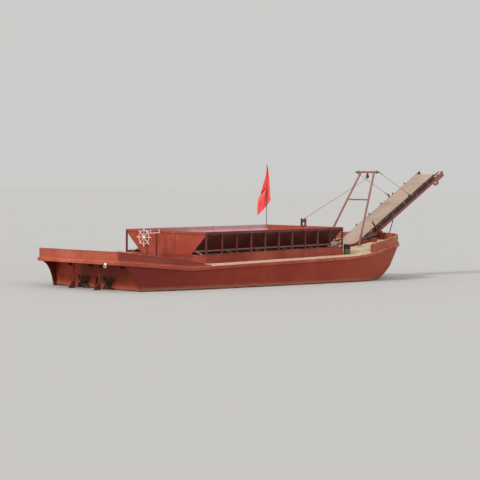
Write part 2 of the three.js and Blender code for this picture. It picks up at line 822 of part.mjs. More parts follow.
function helmPost() {
  const x = station(POST_STATION);
  const z = height(1700);
  return join(
    rod([x, 0, onDeck(POST_STATION)], [x, 0, z], 45, 16),
    box(x - 90, x + 90, -90, 90, onDeck(POST_STATION), onDeck(POST_STATION) + 20),
  );
}

function leverBar() {
  const x = station(POST_STATION);
  const z = height(1700) + 25 + GAP;
  const parts = [rod([x - 880, 0, z], [x + 300, 0, z], 25, 12)];
  for (const dx of [-820, -520, 240]) {
    parts.push(rod([x + dx, 0, z - 10], [x + dx, 0, z + 150], 16, 10));
    parts.push(rod([x + dx, 0, z + 130], [x + dx, 0, z + 190], 32, 12));
  }
  return join(parts);
}

add('helm_post', helmPost(), 'frame');
add('lever_bar', leverBar(), 'white');

// Stern gear: shafts, propellers, rudders and the skeg between them

const SHAFT = { across: 1000, height: -960, hub: -6000 };
const RUDDER = { station: -6650, across: 1000, foot: -1850 };

for (const { side, s } of SIDES) {
  const y = s * SHAFT.across;
  const z = height(SHAFT.height);
  const tube = rod([station(SHAFT.hub) + 100, y, z], [station(TRANSOM) - GAP, y, z], 110, 20);
  const bore = rod([station(SHAFT.hub), y, z], [station(TRANSOM) + 10, y, z], 35.9, 24);
  add(`stern_tube_${side}`, cut(tube, bore), 'steel');
}

function propeller(s) {
  const parts = [rod([-90, 0, 0], [95, 0, 0], 85, 20), rod([80, 0, 0], [240, 0, 0], 35, 24)];
  for (let i = 0; i < 4; i += 1) {
    const blade = new THREE.CylinderGeometry(1, 1, 14, 20).scale(240, 1, 150);
    blade.rotateZ(Math.PI / 2).rotateY(s * 0.6).translate(0, 300, 0);
    parts.push(solid(blade).rotate([45 + i * 90, 0, 0]));
  }
  return join(parts);
}

for (const { side, s } of SIDES) {
  const mesh = add(`propeller_${side}`, propeller(s), 'bronze');
  mesh.position.set(station(SHAFT.hub), s * SHAFT.across, height(SHAFT.height));
}

function rudder() {
  const top = sheerHeight(RUDDER.station) - DECK_EDGE - SHAFT.height;
  const foot = RUDDER.foot - SHAFT.height;
  const blade = shapeOf([
    [-400, foot], [110, foot], [110, 0], [0, 150], [-60, 150], [-400, -260],
  ]);
  return join(
    rod([0, 0, foot], [0, 0, top - 5.5], 50, 16),
    sideSolid(blade, -25, 25),
  );
}

for (const { side, s } of SIDES) {
  const mesh = add(`rudder_${side}`, rudder(), 'hull');
  mesh.position.set(station(RUDDER.station), s * RUDDER.across, height(SHAFT.height));
}

function skeg() {
  const x = station(TRANSOM) - GAP;
  const [low, high] = [height(-1900), height(-620)];
  const shape = shapeOf([[x - 420, low], [x, low], [x, high], [x - 120, high]]);
  return sideSolid(shape, -30, 30);
}

add('skeg', skeg(), 'hull');

// Engine hatch on the stern deck

const HATCH = { aft: -5200, fore: -3200, half: 850, top: 620 };

function hatchCoaming() {
  const x0 = station(HATCH.aft);
  const x1 = station(HATCH.fore);
  const ringBody = cut(
    box(x0, x1, -HATCH.half, HATCH.half, 1500, height(HATCH.top)),
    box(x0 + 60, x1 - 60, 60 - HATCH.half, HATCH.half - 60, 1400, height(HATCH.top) + 10),
  );
  return ringBody.intersect(sheerBand(-7000, -2200, GAP, 2000));
}

add('hatch_coaming', hatchCoaming(), 'hopper');

const HINGE = [station(HATCH.aft) - 35, height(HATCH.top) + 25];

function hatchLid() {
  const [x, z] = HINGE;
  const lid = cut(
    box(-10, HATCH.fore - HATCH.aft + 75, -HATCH.half - 40, HATCH.half + 40, GAP - 25, 25),
    box(60, 66, -10, 10, 24, 26),
  );
  const knuckles = [-500, 500].map((y) => rod([0, y - 90, 0], [0, y + 90, 0], 25, 12));
  return { body: join(lid, knuckles), x, z };
}

const lid = hatchLid();
add('hatch_lid', lid.body, 'hopper').position.set(lid.x, 0, lid.z);

// Deck fittings: bitts, mooring ring, fuel drum

const BITTS = [
  { name: 'bitts_stern_port', s: -6300, y: 2300 },
  { name: 'bitts_stern_starboard', s: -6300, y: -2300 },
  { name: 'bitts_bow_port', s: 20300, y: 1750 },
  { name: 'bitts_bow_starboard', s: 20300, y: -1750 },
];

function bitts() {
  const parts = [box(-330, 330, -110, 110, GAP, 30)];
  for (const x of [-190, 190]) {
    parts.push(rod([x, 0, 20], [x, 0, 330], 70, 16), rod([x, 0, 330], [x, 0, 355], 90, 16));
  }
  return join(parts);
}

for (const { name, s, y } of BITTS) {
  const mesh = add(name, bitts(), 'frame');
  mesh.position.set(station(s), y, height(sheerHeight(s)));
  mesh.rotation.y = -sheerSlope(s);
}

function mooringRing() {
  const x = station(PLATFORM_END) - RAIL_OUT - GAP;
  const z = height(sheerHeight(PLATFORM_END) - 230);
  const ringBody = solid(new THREE.TorusGeometry(85, 16, 10, 28).rotateY(Math.PI / 2));
  return join(
    ringBody.translate([x - 42, -2350, z - 120]),
    box(x - 60, x, -2380, -2320, z - 60, z - 15),
    box(x - 12, x, -2430, -2270, z - 90, z + 60),
  );
}

add('mooring_ring', mooringRing(), 'white');

function fuelDrum() {
  const points = [
    [0, 0], [225, 0], [235, 12], [225, 24], [225, 225], [234, 237], [225, 249],
    [225, 450], [234, 462], [225, 474], [225, 680], [235, 692], [225, 704], [0, 704],
  ];
  const profile = points.map(([r, z]) => new THREE.Vector2(r, z));
  return solid(new THREE.LatheGeometry(profile, 28).rotateX(Math.PI / 2));
}

add('fuel_drum', fuelDrum(), 'black').position.set(station(14430), -3330, height(GAP));

// Flag staff on the forward port corner of the hopper, with its hanging flag

const STAFF = { station: 14045, across: HOPPER_HALF - 45, top: 6050 };

function flagStaff() {
  const x = station(STAFF.station);
  const z = height(RIM_HIGH + GAP);
  return join(
    rod([x, STAFF.across, z], [x, STAFF.across, height(STAFF.top)], 22, 12),
    box(x - 45, x + 45, STAFF.across - 45, STAFF.across + 45, z, z + 20),
  );
}

add('flag_staff', flagStaff(), 'steel');

// A limp flag: a closed fold that hangs from the top of the staff
const FLAG = { top: 5950, drop: 3200, width: 520 };

function flag() {
  const x = station(STAFF.station);
  const edge = x - 22 - GAP;
  const shape = shapeOf([
    [edge, height(FLAG.top)],
    [edge - 120, height(FLAG.top - 1400)],
    [edge - FLAG.width, height(FLAG.top - 2300)],
    [edge - FLAG.width, height(FLAG.top - 3050)],
    [edge - 60, height(FLAG.top - FLAG.drop)],
    [edge, height(FLAG.top - 2300)],
  ]);
  return sideSolid(shape, STAFF.across - 60, STAFF.across + 60);
}

add('flag', flag(), 'flag');

export default barge;
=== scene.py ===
import math

import bmesh
import bpy
from mathutils import Matrix, Vector, noise


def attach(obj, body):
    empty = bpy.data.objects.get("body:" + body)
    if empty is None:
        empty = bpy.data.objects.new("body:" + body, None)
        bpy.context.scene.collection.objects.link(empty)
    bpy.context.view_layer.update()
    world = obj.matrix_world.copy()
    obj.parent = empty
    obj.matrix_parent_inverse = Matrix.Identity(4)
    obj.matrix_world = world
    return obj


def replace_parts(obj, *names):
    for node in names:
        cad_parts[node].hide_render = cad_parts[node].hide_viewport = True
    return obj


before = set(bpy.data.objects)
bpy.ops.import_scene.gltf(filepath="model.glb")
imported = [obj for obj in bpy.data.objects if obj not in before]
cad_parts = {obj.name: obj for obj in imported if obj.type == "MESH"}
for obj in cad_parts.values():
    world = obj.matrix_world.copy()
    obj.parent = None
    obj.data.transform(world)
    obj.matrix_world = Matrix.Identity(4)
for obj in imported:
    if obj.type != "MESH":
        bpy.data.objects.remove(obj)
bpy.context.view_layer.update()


# Camera: the view from off the starboard quarter, a little above the hopper's rim.
# It stands 84 m away with a long lens, so that the hull's far side is hardly smaller.

EYE = Vector((-66.11, -51.93, 6.71))
HEADING = math.radians(38.53)
DIP = math.radians(-2.53)
LEAN = math.radians(0.54)
LENS = 97.6

ahead = Vector((
    math.cos(DIP) * math.cos(HEADING),
    math.cos(DIP) * math.sin(HEADING),
    math.sin(DIP),
))
right = ahead.cross(Vector((0, 0, 1))).normalized()
right = (Matrix.Rotation(LEAN, 3, -ahead) @ right).normalized()
above = right.cross(ahead)
camera = bpy.data.objects.new("camera", bpy.data.cameras.new("camera"))
camera.matrix_world = Matrix((
    (right.x, above.x, -ahead.x, EYE.x),
    (right.y, above.y, -ahead.y, EYE.y),
    (right.z, above.z, -ahead.z, EYE.z),
    (0, 0, 0, 1),
))
camera.data.lens = LENS
camera.data.clip_end = 1200
bpy.context.scene.collection.objects.link(camera)
bpy.context.scene.camera = camera
bpy.context.scene.view_settings.view_transform = "Standard"


# Hull: welded steel plate, flat bottomed, in red lead paint that years of weather have worn.
# The plates meet in welded seams, and sand from the belt lies on the side decks and the bow deck.

HALF_BEAM = 3.85
DEPTH = 1.95
BOW_START, BOW_SIDE, BOW_NOSE = 16.0, 20.0, 3.4
TAPER_START, TAPER, STERN_CORNER, PLATFORM_END = -1.0, 27.26, 0.25, -7.45
TRANSOM = -5.75
DECK_EDGE = 0.28
SHEER = [
    (-7.6, 0.523), (-2.2, 0.0), (14.8, 0.0), (15.9, 0.065),
    (17.0, 0.19), (20.0, 0.52), (21.8, 0.66), (24.0, 0.72),
]
PLATE_LENGTH, PLATE_SHIFT = 2.8, 0.4
STRAKE, STRAKE_BACK = 0.96, 1.02
WATERLINE, TRIM = 0.30, 0.026
HOPPER_AFT = -8.0


def station(s):
    """X from the distance forward of the hopper's aft end."""
    return s + HOPPER_AFT


def height(h):
    """Z from the height above the flat deck."""
    return h + DEPTH


def between(table, s):
    """The height at a station, straight between the rows of a table."""
    for (s0, h0), (s1, h1) in zip(table, table[1:]):
        if s <= s1:
            return h0 + (h1 - h0) * (s - s0) / (s1 - s0)
    return table[-1][1]


def deck_at(x, lift=0.0):
    return height(between(SHEER, x - HOPPER_AFT) + lift)


def plan_line(step=0.3):
    """Round the deck's edge from the stem: each point's x and y, and the way outward there."""
    quarter = math.pi / 2
    rest = BOW_SIDE - BOW_NOSE
    turn = math.acos((BOW_SIDE - HALF_BEAM) / rest)
    nose_x = station(BOW_START) + rest * math.sin(turn)
    taper_y = HALF_BEAM - TAPER
    corner_x = station(PLATFORM_END + STERN_CORNER)
    run = TAPER_START - (PLATFORM_END + STERN_CORNER)
    swing = math.asin(run / (TAPER - STERN_CORNER))
    corner_y = taper_y + (TAPER - STERN_CORNER) * math.cos(swing)
    arcs = [
        (nose_x, 0, BOW_NOSE, turn - quarter, quarter - turn),
        (station(BOW_START), HALF_BEAM - BOW_SIDE, BOW_SIDE, quarter - turn, quarter),
        (station(TAPER_START), taper_y, TAPER, quarter, quarter + swing),
        (corner_x, corner_y, STERN_CORNER, quarter + swing, 2 * quarter),
        (corner_x, -corner_y, STERN_CORNER, 2 * quarter, 3 * quarter - swing),
        (station(TAPER_START), -taper_y, TAPER, 3 * quarter - swing, 3 * quarter),
        (station(BOW_START), BOW_SIDE - HALF_BEAM, BOW_SIDE, 3 * quarter, 3 * quarter + turn),
    ]
    line = []
    for x, y, radius, start, end in arcs:
        count = max(4, math.ceil(radius * abs(end - start) / step))
        for i in range(count + 1):
            a = start + (end - start) * i / count
            out_x, out_y = math.cos(a), math.sin(a)
            line.append((x + radius * out_x, y + radius * out_y, out_x, out_y))
    kept = []
    for a, b in zip(line, line[1:] + line[:1]):
        gap = math.dist(a[:2], b[:2])
        for t in [0.0] + [i * step / gap for i in range(1, math.ceil(gap / step))]:
            p = tuple(m + (n - m) * t for m, n in zip(a, b))
            if t < 0.98 and (not kept or math.dist(p[:2], kept[-1][:2]) > 0.02):
                kept.append(p)
    return kept


HULL_LINE = plan_line()


def side_at(x):
    """Half beam of the hull at x."""
    port = [p for p in HULL_LINE if p[1] > 0]
    near = sorted(port, key=lambda p: abs(p[0] - x))[:2]
    (x0, y0), (x1, y1) = sorted((p[0], p[1]) for p in near)
    if x1 - x0 < 1e-6:
        return y0
    return y0 + (y1 - y0) * (x - x0) / (x1 - x0)


class Socket:
    """A shader socket that sums can be written with: each sum adds its Math node."""

    def __init__(self, tree, source=None):
        self.tree = tree
        self.source = source

    def node(self, kind, settings=None, sockets=None, out=0):
        """Adds a node of that kind, with its settings first and then its sockets' values or links."""
        new = self.tree.nodes.new("ShaderNode" + kind)
        for key, value in (settings or {}).items():
            setattr(new, key, value)
        for key, value in (sockets or {}).items():
            if isinstance(value, Socket):
                self.tree.links.new(value.source, new.inputs[key])
            else:
                new.inputs[key].default_value = value
        return Socket(self.tree, new.outputs[out] if new.outputs else None)

    def sum(self, operation, *terms):
        return self.node("Math", {"operation": operation}, dict(enumerate(terms)))

    def __add__(self, other):
        return self.sum("ADD", self, other)

    __radd__ = __add__

    def __sub__(self, other):
        return self.sum("SUBTRACT", self, other)

    def __rsub__(self, other):
        return self.sum("SUBTRACT", other, self)

    def __mul__(self, other):
        return self.sum("MULTIPLY", self, other)

    __rmul__ = __mul__

    def __truediv__(self, other):
        return self.sum("DIVIDE", self, other)

    def apart(self, axis):
        """One of a vector's three numbers."""
        return self.node("SeparateXYZ", None, {0: self}, out=axis)

    def stretched(self, x, y, z):
        return self.node("VectorMath", {"operation": "MULTIPLY"}, {0: self, 1: (x, y, z)})

    def noise(self, scale, detail=3.0, roughness=0.55):
        return self.node("TexNoise", None, {
            "Vector": self, "Scale": scale, "Detail": detail, "Roughness": roughness,
        })

    def step(self, low, high):
        """0 below low, 1 above high, and smooth between them."""
        return self.node("MapRange", {"interpolation_type": "SMOOTHSTEP"}, {
            "Value": self, "From Min": low, "From Max": high, "To Min": 0.0, "To Max": 1.0,
        })

    def mix(self, under, over):
        """The colour over laid on the colour under, as strong as this mask."""
        under, over = (dye(c) if isinstance(c, str) else c for c in (under, over))
        return self.node("Mix", {"data_type": "RGBA"}, {0: self, 6: under, 7: over}, out=2)

    def line(self, spacing, half_width, shift=0.0):
        """1 on lines that far apart along this number, 0 away from them."""
        share = self.sum("FRACT", (self + (shift + 100 * spacing)) / spacing)
        off = self.sum("ABSOLUTE", share - 0.5) * spacing
        return off.step(spacing / 2 - 2 * half_width, spacing / 2 - half_width * 0.5)


def dye(code):
    """A colour for a shader from its six hex digits."""
    parts = [int(code[i:i + 2], 16) / 255 for i in (0, 2, 4)]
    return tuple(c / 12.92 if c <= 0.04045 else ((c + 0.055) / 1.055) ** 2.4 for c in parts) + (1.0,)


def start_finish(name):
    """A new material and the place on the object, in metres, that its marks follow."""
    material = bpy.data.materials.new(name)
    material.use_nodes = True
    material.node_tree.nodes.clear()
    return material, Socket(material.node_tree).node("TexCoord", out="Object")


def close_finish(where, colour, roughness, relief, depth, others=None):
    """The surface shader and its relief, at the end of a material's nodes."""
    normal = where.node("Bump", None, {"Strength": 1.0, "Distance": depth, "Height": relief})
    surface = where.node("BsdfPrincipled", None, {
        "Base Color": colour, "Roughness": roughness, "Normal": normal, "Specular IOR Level": 0.3,
        **(others or {}),
    })
    where.node("OutputMaterial", None, {"Surface": surface})


def edge_wear(where, radius=0.02):
    """1 along a piece's outer edges, where paint wears first."""
    round_normal = where.node("Bevel", {"samples": 3}, {"Radius": radius})
    normals = {0: round_normal, 1: where.node("NewGeometry", out="Normal")}
    same = where.node("VectorMath", {"operation": "DOT_PRODUCT"}, normals, out=1)
    return (1.0 - same).step(0.03, 0.22)


def facing(where, axis):
    """How squarely the surface looks along an axis, from -1 to 1."""
    return where.node("TexCoord", out="Normal").apart(axis)


def facing_up(where):
    return facing(where, 2).step(0.55, 0.9)


def layered(colour, *coats):
    """Lays coats over a colour in turn: each is a mask and its own colour."""
    for mask, over in coats:
        colour = mask.mix(colour, over)
    return colour


RUST, SAND, SILT = "4a2415", "d9bfa4", "a98468"


def painted(name, coat, faded, deep, runs=0.5, dust=0.5, rust=0.6, extra=None):
    """Red paint on steel: faded patches, streaks that rain drew down, rust, dust and worn edges."""
    material, where = start_finish(name)
    mottle = where.noise(5.5, 6, 0.65)
    streaks = where.stretched(6.0, 6.0, 0.42).noise(1.0, 6, 0.62)
    colour = layered(
        where.noise(0.5, 5, 0.6).step(0.36, 0.68).mix(coat, faded),
        (streaks.step(0.5, 0.72) * runs, deep),
        (streaks.step(0.5, 0.3) * (0.35 * runs), faded),
        (mottle.step(0.62, 0.5) * 0.25, deep),
    )
    roughness = mottle * 0.22 + 0.6
    relief = where.noise(60, 3, 0.6) * 0.12 + mottle * 0.5 + where.noise(1.3, 2) * 2.2
    if extra:
        colour, roughness, relief = extra(where, colour, roughness, relief)
    spots = where.noise(17, 8, 0.72).step(0.665, 0.7) * rust
    worn = edge_wear(where) * where.noise(11, 4, 0.7).step(0.42, 0.6)
    lying = where.noise(2.6, 6, 0.65).step(0.62 - 0.5 * dust, 0.8 - 0.4 * dust)
    settled = facing_up(where) * lying
    colour = layered(
        colour, (worn * 0.75, faded), (spots, RUST), (settled * min(1.0, 0.35 + dust * 0.6), SAND),
    )
    roughness = roughness + settled * 0.3 + spots * 0.2
    close_finish(where, colour, roughness, relief - spots * 0.5, 0.006)
    return material


BOW_RISE_FROM, BOW_RISE, STERN_RISE_FROM, STERN_RISE = 14.9, 0.09, -2.2, 0.0969


def hull_marks(where, colour, roughness, relief):
    """Plate seams, a darker coat aft deepened as painted shade, a paler bow, painted light on the
    transom's aft face, soot and painted shade under the overhang, silt and wet by the waterline, sand
    on the deck.
    """
    x, z = where.apart(0), where.apart(2)
    seams = x.line(PLATE_LENGTH, 0.012, PLATE_SHIFT)
    cell = where.node("CombineXYZ", None, {
        0: x.sum("FLOOR", (x + (PLATE_SHIFT + 50 * PLATE_LENGTH)) / PLATE_LENGTH),
        1: z.sum("FLOOR", z / STRAKE),
    })
    tone = where.node("TexWhiteNoise", {"noise_dimensions": "3D"}, {"Vector": cell})
    wander = x + where.noise(0.6, 3) * 3.0
    scuffs = where.stretched(1.2, 1.2, 9.0).noise(1.0, 6, 0.7).step(0.6, 0.68)
    pale_runs = where.stretched(9, 9, 0.25).noise(1.0, 3, 0.6).step(0.6, 0.7)
    transom = station(TRANSOM)
    # Painted light: a brighter red on the transom's aft-facing plate stands for the light it catches
    # from astern.
    aft_face = x.step(transom + 0.05, transom - 0.02) * x.step(transom - 0.30, transom - 0.15)
    aft_face = aft_face * where.sum("ABSOLUTE", facing(where, 1)).step(0.5, 0.3)
    behind_screws = where.sum("ABSOLUTE", where.apart(1) + 0.6).step(2.3, 1.3)
    # Soot and painted shade: dark brown on the transom's upper part, where the overhang shades it.
    soot_and_shade = (where.noise(0.9, 4, 0.6) + behind_screws * 0.3).step(0.45, 0.65)
    soot_and_shade = soot_and_shade * z.step(height(-1.5), height(-0.4))
    ragged = z + x * TRIM - WATERLINE + where.noise(1.7, 4) * 0.16 - 0.08
    rise = x.sum("MAXIMUM", (x - station(BOW_RISE_FROM)) * BOW_RISE, 0.0)
    rise = rise.sum("MAXIMUM", rise, (station(STERN_RISE_FROM) - x) * STERN_RISE)
    lift = z - rise - height(0)
    above_rail = lift.step(-0.13, -0.09) * (1.0 - facing_up(where))
    above_rail = above_rail * x.step(station(0.0), station(-1.0))
    drifts = where.noise(1.1, 6, 0.62)
    grains = where.noise(160, 4, 0.8)
    spilt = x.step(station(-0.5), station(-0.2)) * x.step(station(16.7), station(16.5))
    band = lift.step(-0.11, -0.07) * spilt * (drifts + grains * 0.3).step(0.2, 0.45)
    on_deck = facing_up(where) * (z - height(0)).step(-0.03, -0.005)
    amount = on_deck * (drifts * 0.5 + (x + 14).step(4.0, 9.0) * 0.9).step(0.35, 0.75)
    amount = amount.sum("MAXIMUM", amount, band * 0.92)
    colour = layered(
        colour,
        (tone * 0.25, "94361f"),
        # Partly painted shade: the darker coat aft also stands for the shade on the after hull.
        (wander.step(station(5.0), station(-5.0)) * 0.8, "5e170d"),
        (wander.step(1.0, 14.0) * 0.5, "a04d34"),
        (scuffs * 0.2, "ac5138"),
        (pale_runs * x.step(8.0, 14.0) * 0.6, "c49c86"),
        (aft_face * 0.8, "bd4a2c"),
        (aft_face * soot_and_shade * 0.75, "52291b"),
        (ragged.step(0.32, 0.02) * 0.45, SILT),
        (ragged.step(0.10, 0.04) * 0.8, "3a1e17"),
        (above_rail * 0.85, "b0503a"),
        (amount, grains.step(0.3, 0.75).mix("d9b096", "f6ddca")),
    )
    relief = relief + seams * 0.4 + amount * drifts * 3.0 + amount * grains * 0.8
    return colour, roughness + amount * 0.4, relief


hull_paint = painted(
    "hull red lead", "892a19", "943622", "6a1c0e", runs=0.15, dust=0.18, rust=0.7, extra=hull_marks,
)


def wear(material, *nodes):
    """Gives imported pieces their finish."""
    for node in nodes:
        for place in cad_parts[node].material_slots:
            place.material = material


wear(hull_paint, "hull")


def ring(middle, across, other, radius, sides):
    """Points round a circle that lies in two directions."""
    turns = (2 * math.pi * i / sides for i in range(sides))
    return [middle + (across * math.cos(a) + other * math.sin(a)) * radius for a in turns]


class Shape:
    """Points and faces of one piece, gathered before its mesh is made."""

    def __init__(self):
        self.points = []
        self.faces = []

    def add(self, points, faces):
        first = len(self.points)
        self.points += [Vector(p) for p in points]
        self.faces += [[first + i for i in face] for face in faces]
        return self

    def sweep(self, rings, closed=False):
        """Skins rings of points, each with as many points, and closes the ends if it isn't a loop."""
        n, count = len(rings[0]), len(rings)
        faces = []
        for i in range(count if closed else count - 1):
            a, b = i * n, (i + 1) % count * n
            faces += [[a + j, a + (j + 1) % n, b + (j + 1) % n, b + j] for j in range(n)]
        if not closed:
            faces.append(list(range(n))[::-1])
            faces.append([(count - 1) * n + j for j in range(n)])
        return self.add([p for loop in rings for p in loop], faces)

    def turned(self, start, end, profile, sides=16):
        """A turned piece on the line from start to end: profile gives distance along and radius."""
        start, axis = Vector(start), (Vector(end) - Vector(start)).normalized()
        across = axis.orthogonal().normalized()
        other = axis.cross(across)
        return self.sweep([ring(start + axis * along, across, other, r, sides) for along, r in profile])

    def rod(self, start, end, radius, sides=12, chamfer=0.2):
        """A round bar with its end edges broken."""
        length, c = (Vector(end) - Vector(start)).length, radius * chamfer
        profile = [(0, radius - c), (c, radius), (length - c, radius), (length, radius - c)]
        return self.turned(start, end, profile, sides)

    def bolt(self, place, outward, size=0.016):
        """A hexagon head with its washer."""
        place, out = Vector(place), Vector(outward).normalized()
        washer = [(0, size * 1.25), (0.006, size * 1.25)]
        head = [(0.004, size), (0.004 + size * 0.7, size), (0.004 + size * 0.8, size * 0.8)]
        self.turned(place - out * 0.002, place + out, washer, 12)
        return self.turned(place, place + out, head, 6)

    def block(self, low, high, turn=None, chamfer=0.006):
        """A bar or plate with broken edges; turn is the matrix that lays it in place."""
        c = min(chamfer, *(0.3 * abs(high[i] - low[i]) for i in range(3)))
        corners = []
        for number in range(8):
            ends = [number & 4, number & 2, number & 1]
            corner = [high[i] if ends[i] else low[i] for i in range(3)]
            inward = [-c if ends[i] else c for i in range(3)]
            for keep in range(3):
                corners.append([corner[i] + (0 if i == keep else inward[i]) for i in range(3)])
        return self.hull(corners, turn)

    def plate(self, outline, thick, turn=None):
        """A flat plate: its outline on X and Z, run across on Y for its thickness."""
        front = [(x, -thick / 2, z) for x, z in outline]
        back = [(x, thick / 2, z) for x, z in outline]
        n = len(outline)
        faces = [list(range(n)), list(range(2 * n - 1, n - 1, -1))]
        faces += [[i, n + i, n + (i + 1) % n, (i + 1) % n] for i in range(n)]
        points = [Vector(p) for p in front + back]
        return self.add([turn @ p for p in points] if turn else points, faces)

    def hull(self, points, turn=None):
        """The convex solid round some points."""
        work = bmesh.new()
        for p in points:
            work.verts.new(turn @ Vector(p) if turn else Vector(p))
        bmesh.ops.convex_hull(work, input=work.verts)
        bmesh.ops.dissolve_limit(work, angle_limit=0.01, verts=work.verts, edges=work.edges)
        work.verts.index_update()
        self.add([v.co.copy() for v in work.verts], [[v.index for v in f.verts] for f in work.faces])
        work.free()
        return self

    def piece(self, name, material, body, slot, smooth=35):
        """Makes the mesh, with its finish, riding on its body."""
        mesh = bpy.data.meshes.new(name)
        mesh.from_pydata([tuple(p) for p in self.points], [], self.faces)
        work = bmesh.new()
        work.from_mesh(mesh)
        bmesh.ops.recalc_face_normals(work, faces=work.faces)
        work.to_mesh(mesh)
        work.free()
        mesh.shade_smooth()
        mesh.set_sharp_from_angle(angle=math.radians(smooth))
        made = bpy.data.objects.new(name, mesh)
        made.data.materials.append(material)
        bpy.context.scene.collection.objects.link(made)
        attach(made, body)
        return made


def bead(shape, path, outward, width=0.03, rise=0.007):
    """A weld bead along a path of points, with the way outward at each."""
    rings = []
    for i, (p, out) in enumerate(zip(path, outward)):
        before, after = path[max(0, i - 1)], path[min(len(path) - 1, i + 1)]
        run = (Vector(after) - Vector(before)).normalized()
        out = Vector(out).normalized()
        across = run.cross(out).normalized()
        p = Vector(p)
        rings.append([
            p - across * width / 2 - out * 0.002,
            p - across * width * 0.3 + out * rise * 0.8,
            p + out * rise,
            p + across * width * 0.3 + out * rise * 0.8,
            p + across * width / 2 - out * 0.002,
        ])
    return shape.sweep(rings)


seams = Shape()
for i in range(-2, 8):
    x = PLATE_LENGTH * i + PLATE_LENGTH / 2 - PLATE_SHIFT
    if not station(TRANSOM) + 0.2 < x < station(13.2):
        continue
    top = deck_at(x, -DECK_EDGE)
    heights = [z for z in (0.37 + 0.2 * j for j in range(20)) if z < top - 0.02] + [top - 0.005]
    for side in (-1, 1):
        bead(seams, [(x, side * side_at(x), z) for z in heights], [(0, side, 0)] * len(heights))
bow = station(BOW_START)
for side in (-1, 1):
    level = [p for p in HULL_LINE if p[1] * side > 0 and station(TRANSOM) < p[0]]
    level = [(p[0] - STRAKE_BACK, *p[1:]) if p[0] > bow else p for p in level]
    level = [p for p in level if not bow - STRAKE_BACK < p[0] < bow or abs(p[1]) < HALF_BEAM - 1e-4]
    level.sort(key=lambda p: math.atan2(p[1] * side, station(10.0) - p[0]))
    bead(seams, [(p[0], p[1], STRAKE) for p in level], [(p[2], p[3], 0.4) for p in level])
seams.piece("hull_seams", hull_paint, "barge", "red_hull")


# Knees under the stern overhang: short flame-cut plates with a hollow lower edge,
# welded to the transom and to the platform's underside.

KNEES = [-2.05, -0.42, 0.42, 2.05]
KNEE_OUT, KNEE_DOWN, KNEE_PLATE = 0.38, 0.17, 0.016

knees = Shape()
foot_x, top = station(TRANSOM), deck_at(station(TRANSOM), -DECK_EDGE)
slope = (deck_at(foot_x - KNEE_OUT) - deck_at(foot_x)) / KNEE_OUT
outline = [(0.0, 0.0), (-KNEE_OUT, 0.0)]
for i in range(1, 9):
    a = i / 8 * math.pi / 2
    outline.append((-KNEE_OUT * math.cos(a) ** 0.8 * 0.96, -KNEE_DOWN * math.sin(a)))
outline = [(foot_x + px, top + pz - slope * px) for px, pz in outline]
for y in KNEES:
    knees.plate(outline, KNEE_PLATE, Matrix.Translation((0, y, 0)))
knees.piece("platform_knees", hull_paint, "barge", "red_hull")


# Rub rail: a welded box bar round the whole deck edge, brighter than the hull,
# scraped along its outer face where the barge lies against other craft.

RAIL_TOP, RAIL_OUT, RAIL_ROUND, RAIL_NICK, CLEAR = 0.08, 0.09, 0.014, 0.004, 0.0003


def rail_marks(where, colour, roughness, relief):
    """Long scrapes along the bar, butt welds where its lengths meet, and painted shade on its after
    side faces.
    """
    x = where.apart(0)
    scrapes = where.stretched(1.6, 1.6, 26.0).noise(1.0, 7, 0.72).step(0.55, 0.66)
    joints = x.line(3.1, 0.016)
    # Painted shade: aft of midships, the faces that don't look aft are darker.
    side = x.step(station(12.0), station(2.0)) * (1.0 - facing(where, 0).step(-0.5, -0.8))
    colour = layered(
        colour, (scrapes * 0.6, "c9897a"), (joints * 0.5, "5c2018"), (side * 0.55, "8b3020"),
    )
    return colour, roughness + scrapes * 0.1, relief + joints * 1.0 - scrapes * 0.4


rail_paint = painted(
    "rail red", "a5432f", "bb6650", "79291c", runs=0.15, dust=0.6, rust=0.8, extra=rail_marks,
)
rail = Shape()
rail_section = [
    (CLEAR, -DECK_EDGE), (RAIL_OUT - RAIL_ROUND, -DECK_EDGE),
    (RAIL_OUT - RAIL_NICK, RAIL_NICK - DECK_EDGE), (RAIL_OUT, RAIL_ROUND - DECK_EDGE),
    (RAIL_OUT, -RAIL_TOP - RAIL_ROUND), (RAIL_OUT - RAIL_NICK, -RAIL_TOP - RAIL_NICK),
    (RAIL_OUT - RAIL_ROUND, -RAIL_TOP), (CLEAR, -RAIL_TOP),
]
rail.sweep([
    [(x + nx * out, y + ny * out, deck_at(x, low)) for out, low in rail_section]
    for x, y, nx, ny in HULL_LINE
], closed=True)
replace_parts(rail.piece("rail_bar", rail_paint, "barge", "red_side"), "rub_rail")


# Bulwarks: plate standing on the deck edge round the stern and the bow, with a rounded
# bar along the top edge and small stays welded inside.

STERN_TOP = [(-7.55, 0.95), (-4.18, 0.555), (-1.99, 0.285), (-0.73, 0.02)]
BOW_STEP, BOW_BULWARK, BULWARK = 16.6, 0.49, 0.05
CAP_WIDE, CAP_HIGH = 0.075, 0.036
STAY_FOOT, STAY_TOE, STAY_HEAD, STAY_SHARE, STAY_PLATE, LEAST_STAY = 0.24, 0.03, 0.05, 0.82, 0.012, 0.2


def stern_side_shade(where, colour, roughness, relief):
    """Painted shade: darker paint along the sides than across the stern, which faces the light."""
    return (facing(where, 0).step(-0.8, -0.5) * 0.7).mix(colour, "70241c"), roughness, relief


def bow_marks(where, colour, roughness, relief):
    """Sand dust that blew against the plate and washed down it."""
    washed = where.stretched(3, 3, 1.6).noise(1.0, 6, 0.65).step(0.38, 0.75)
    forward = where.apart(0).step(8.5, 13.0)
    colour = (washed * (0.2 + forward * 0.25)).mix(colour, "bd917c")
    return colour, roughness + washed * 0.15, relief


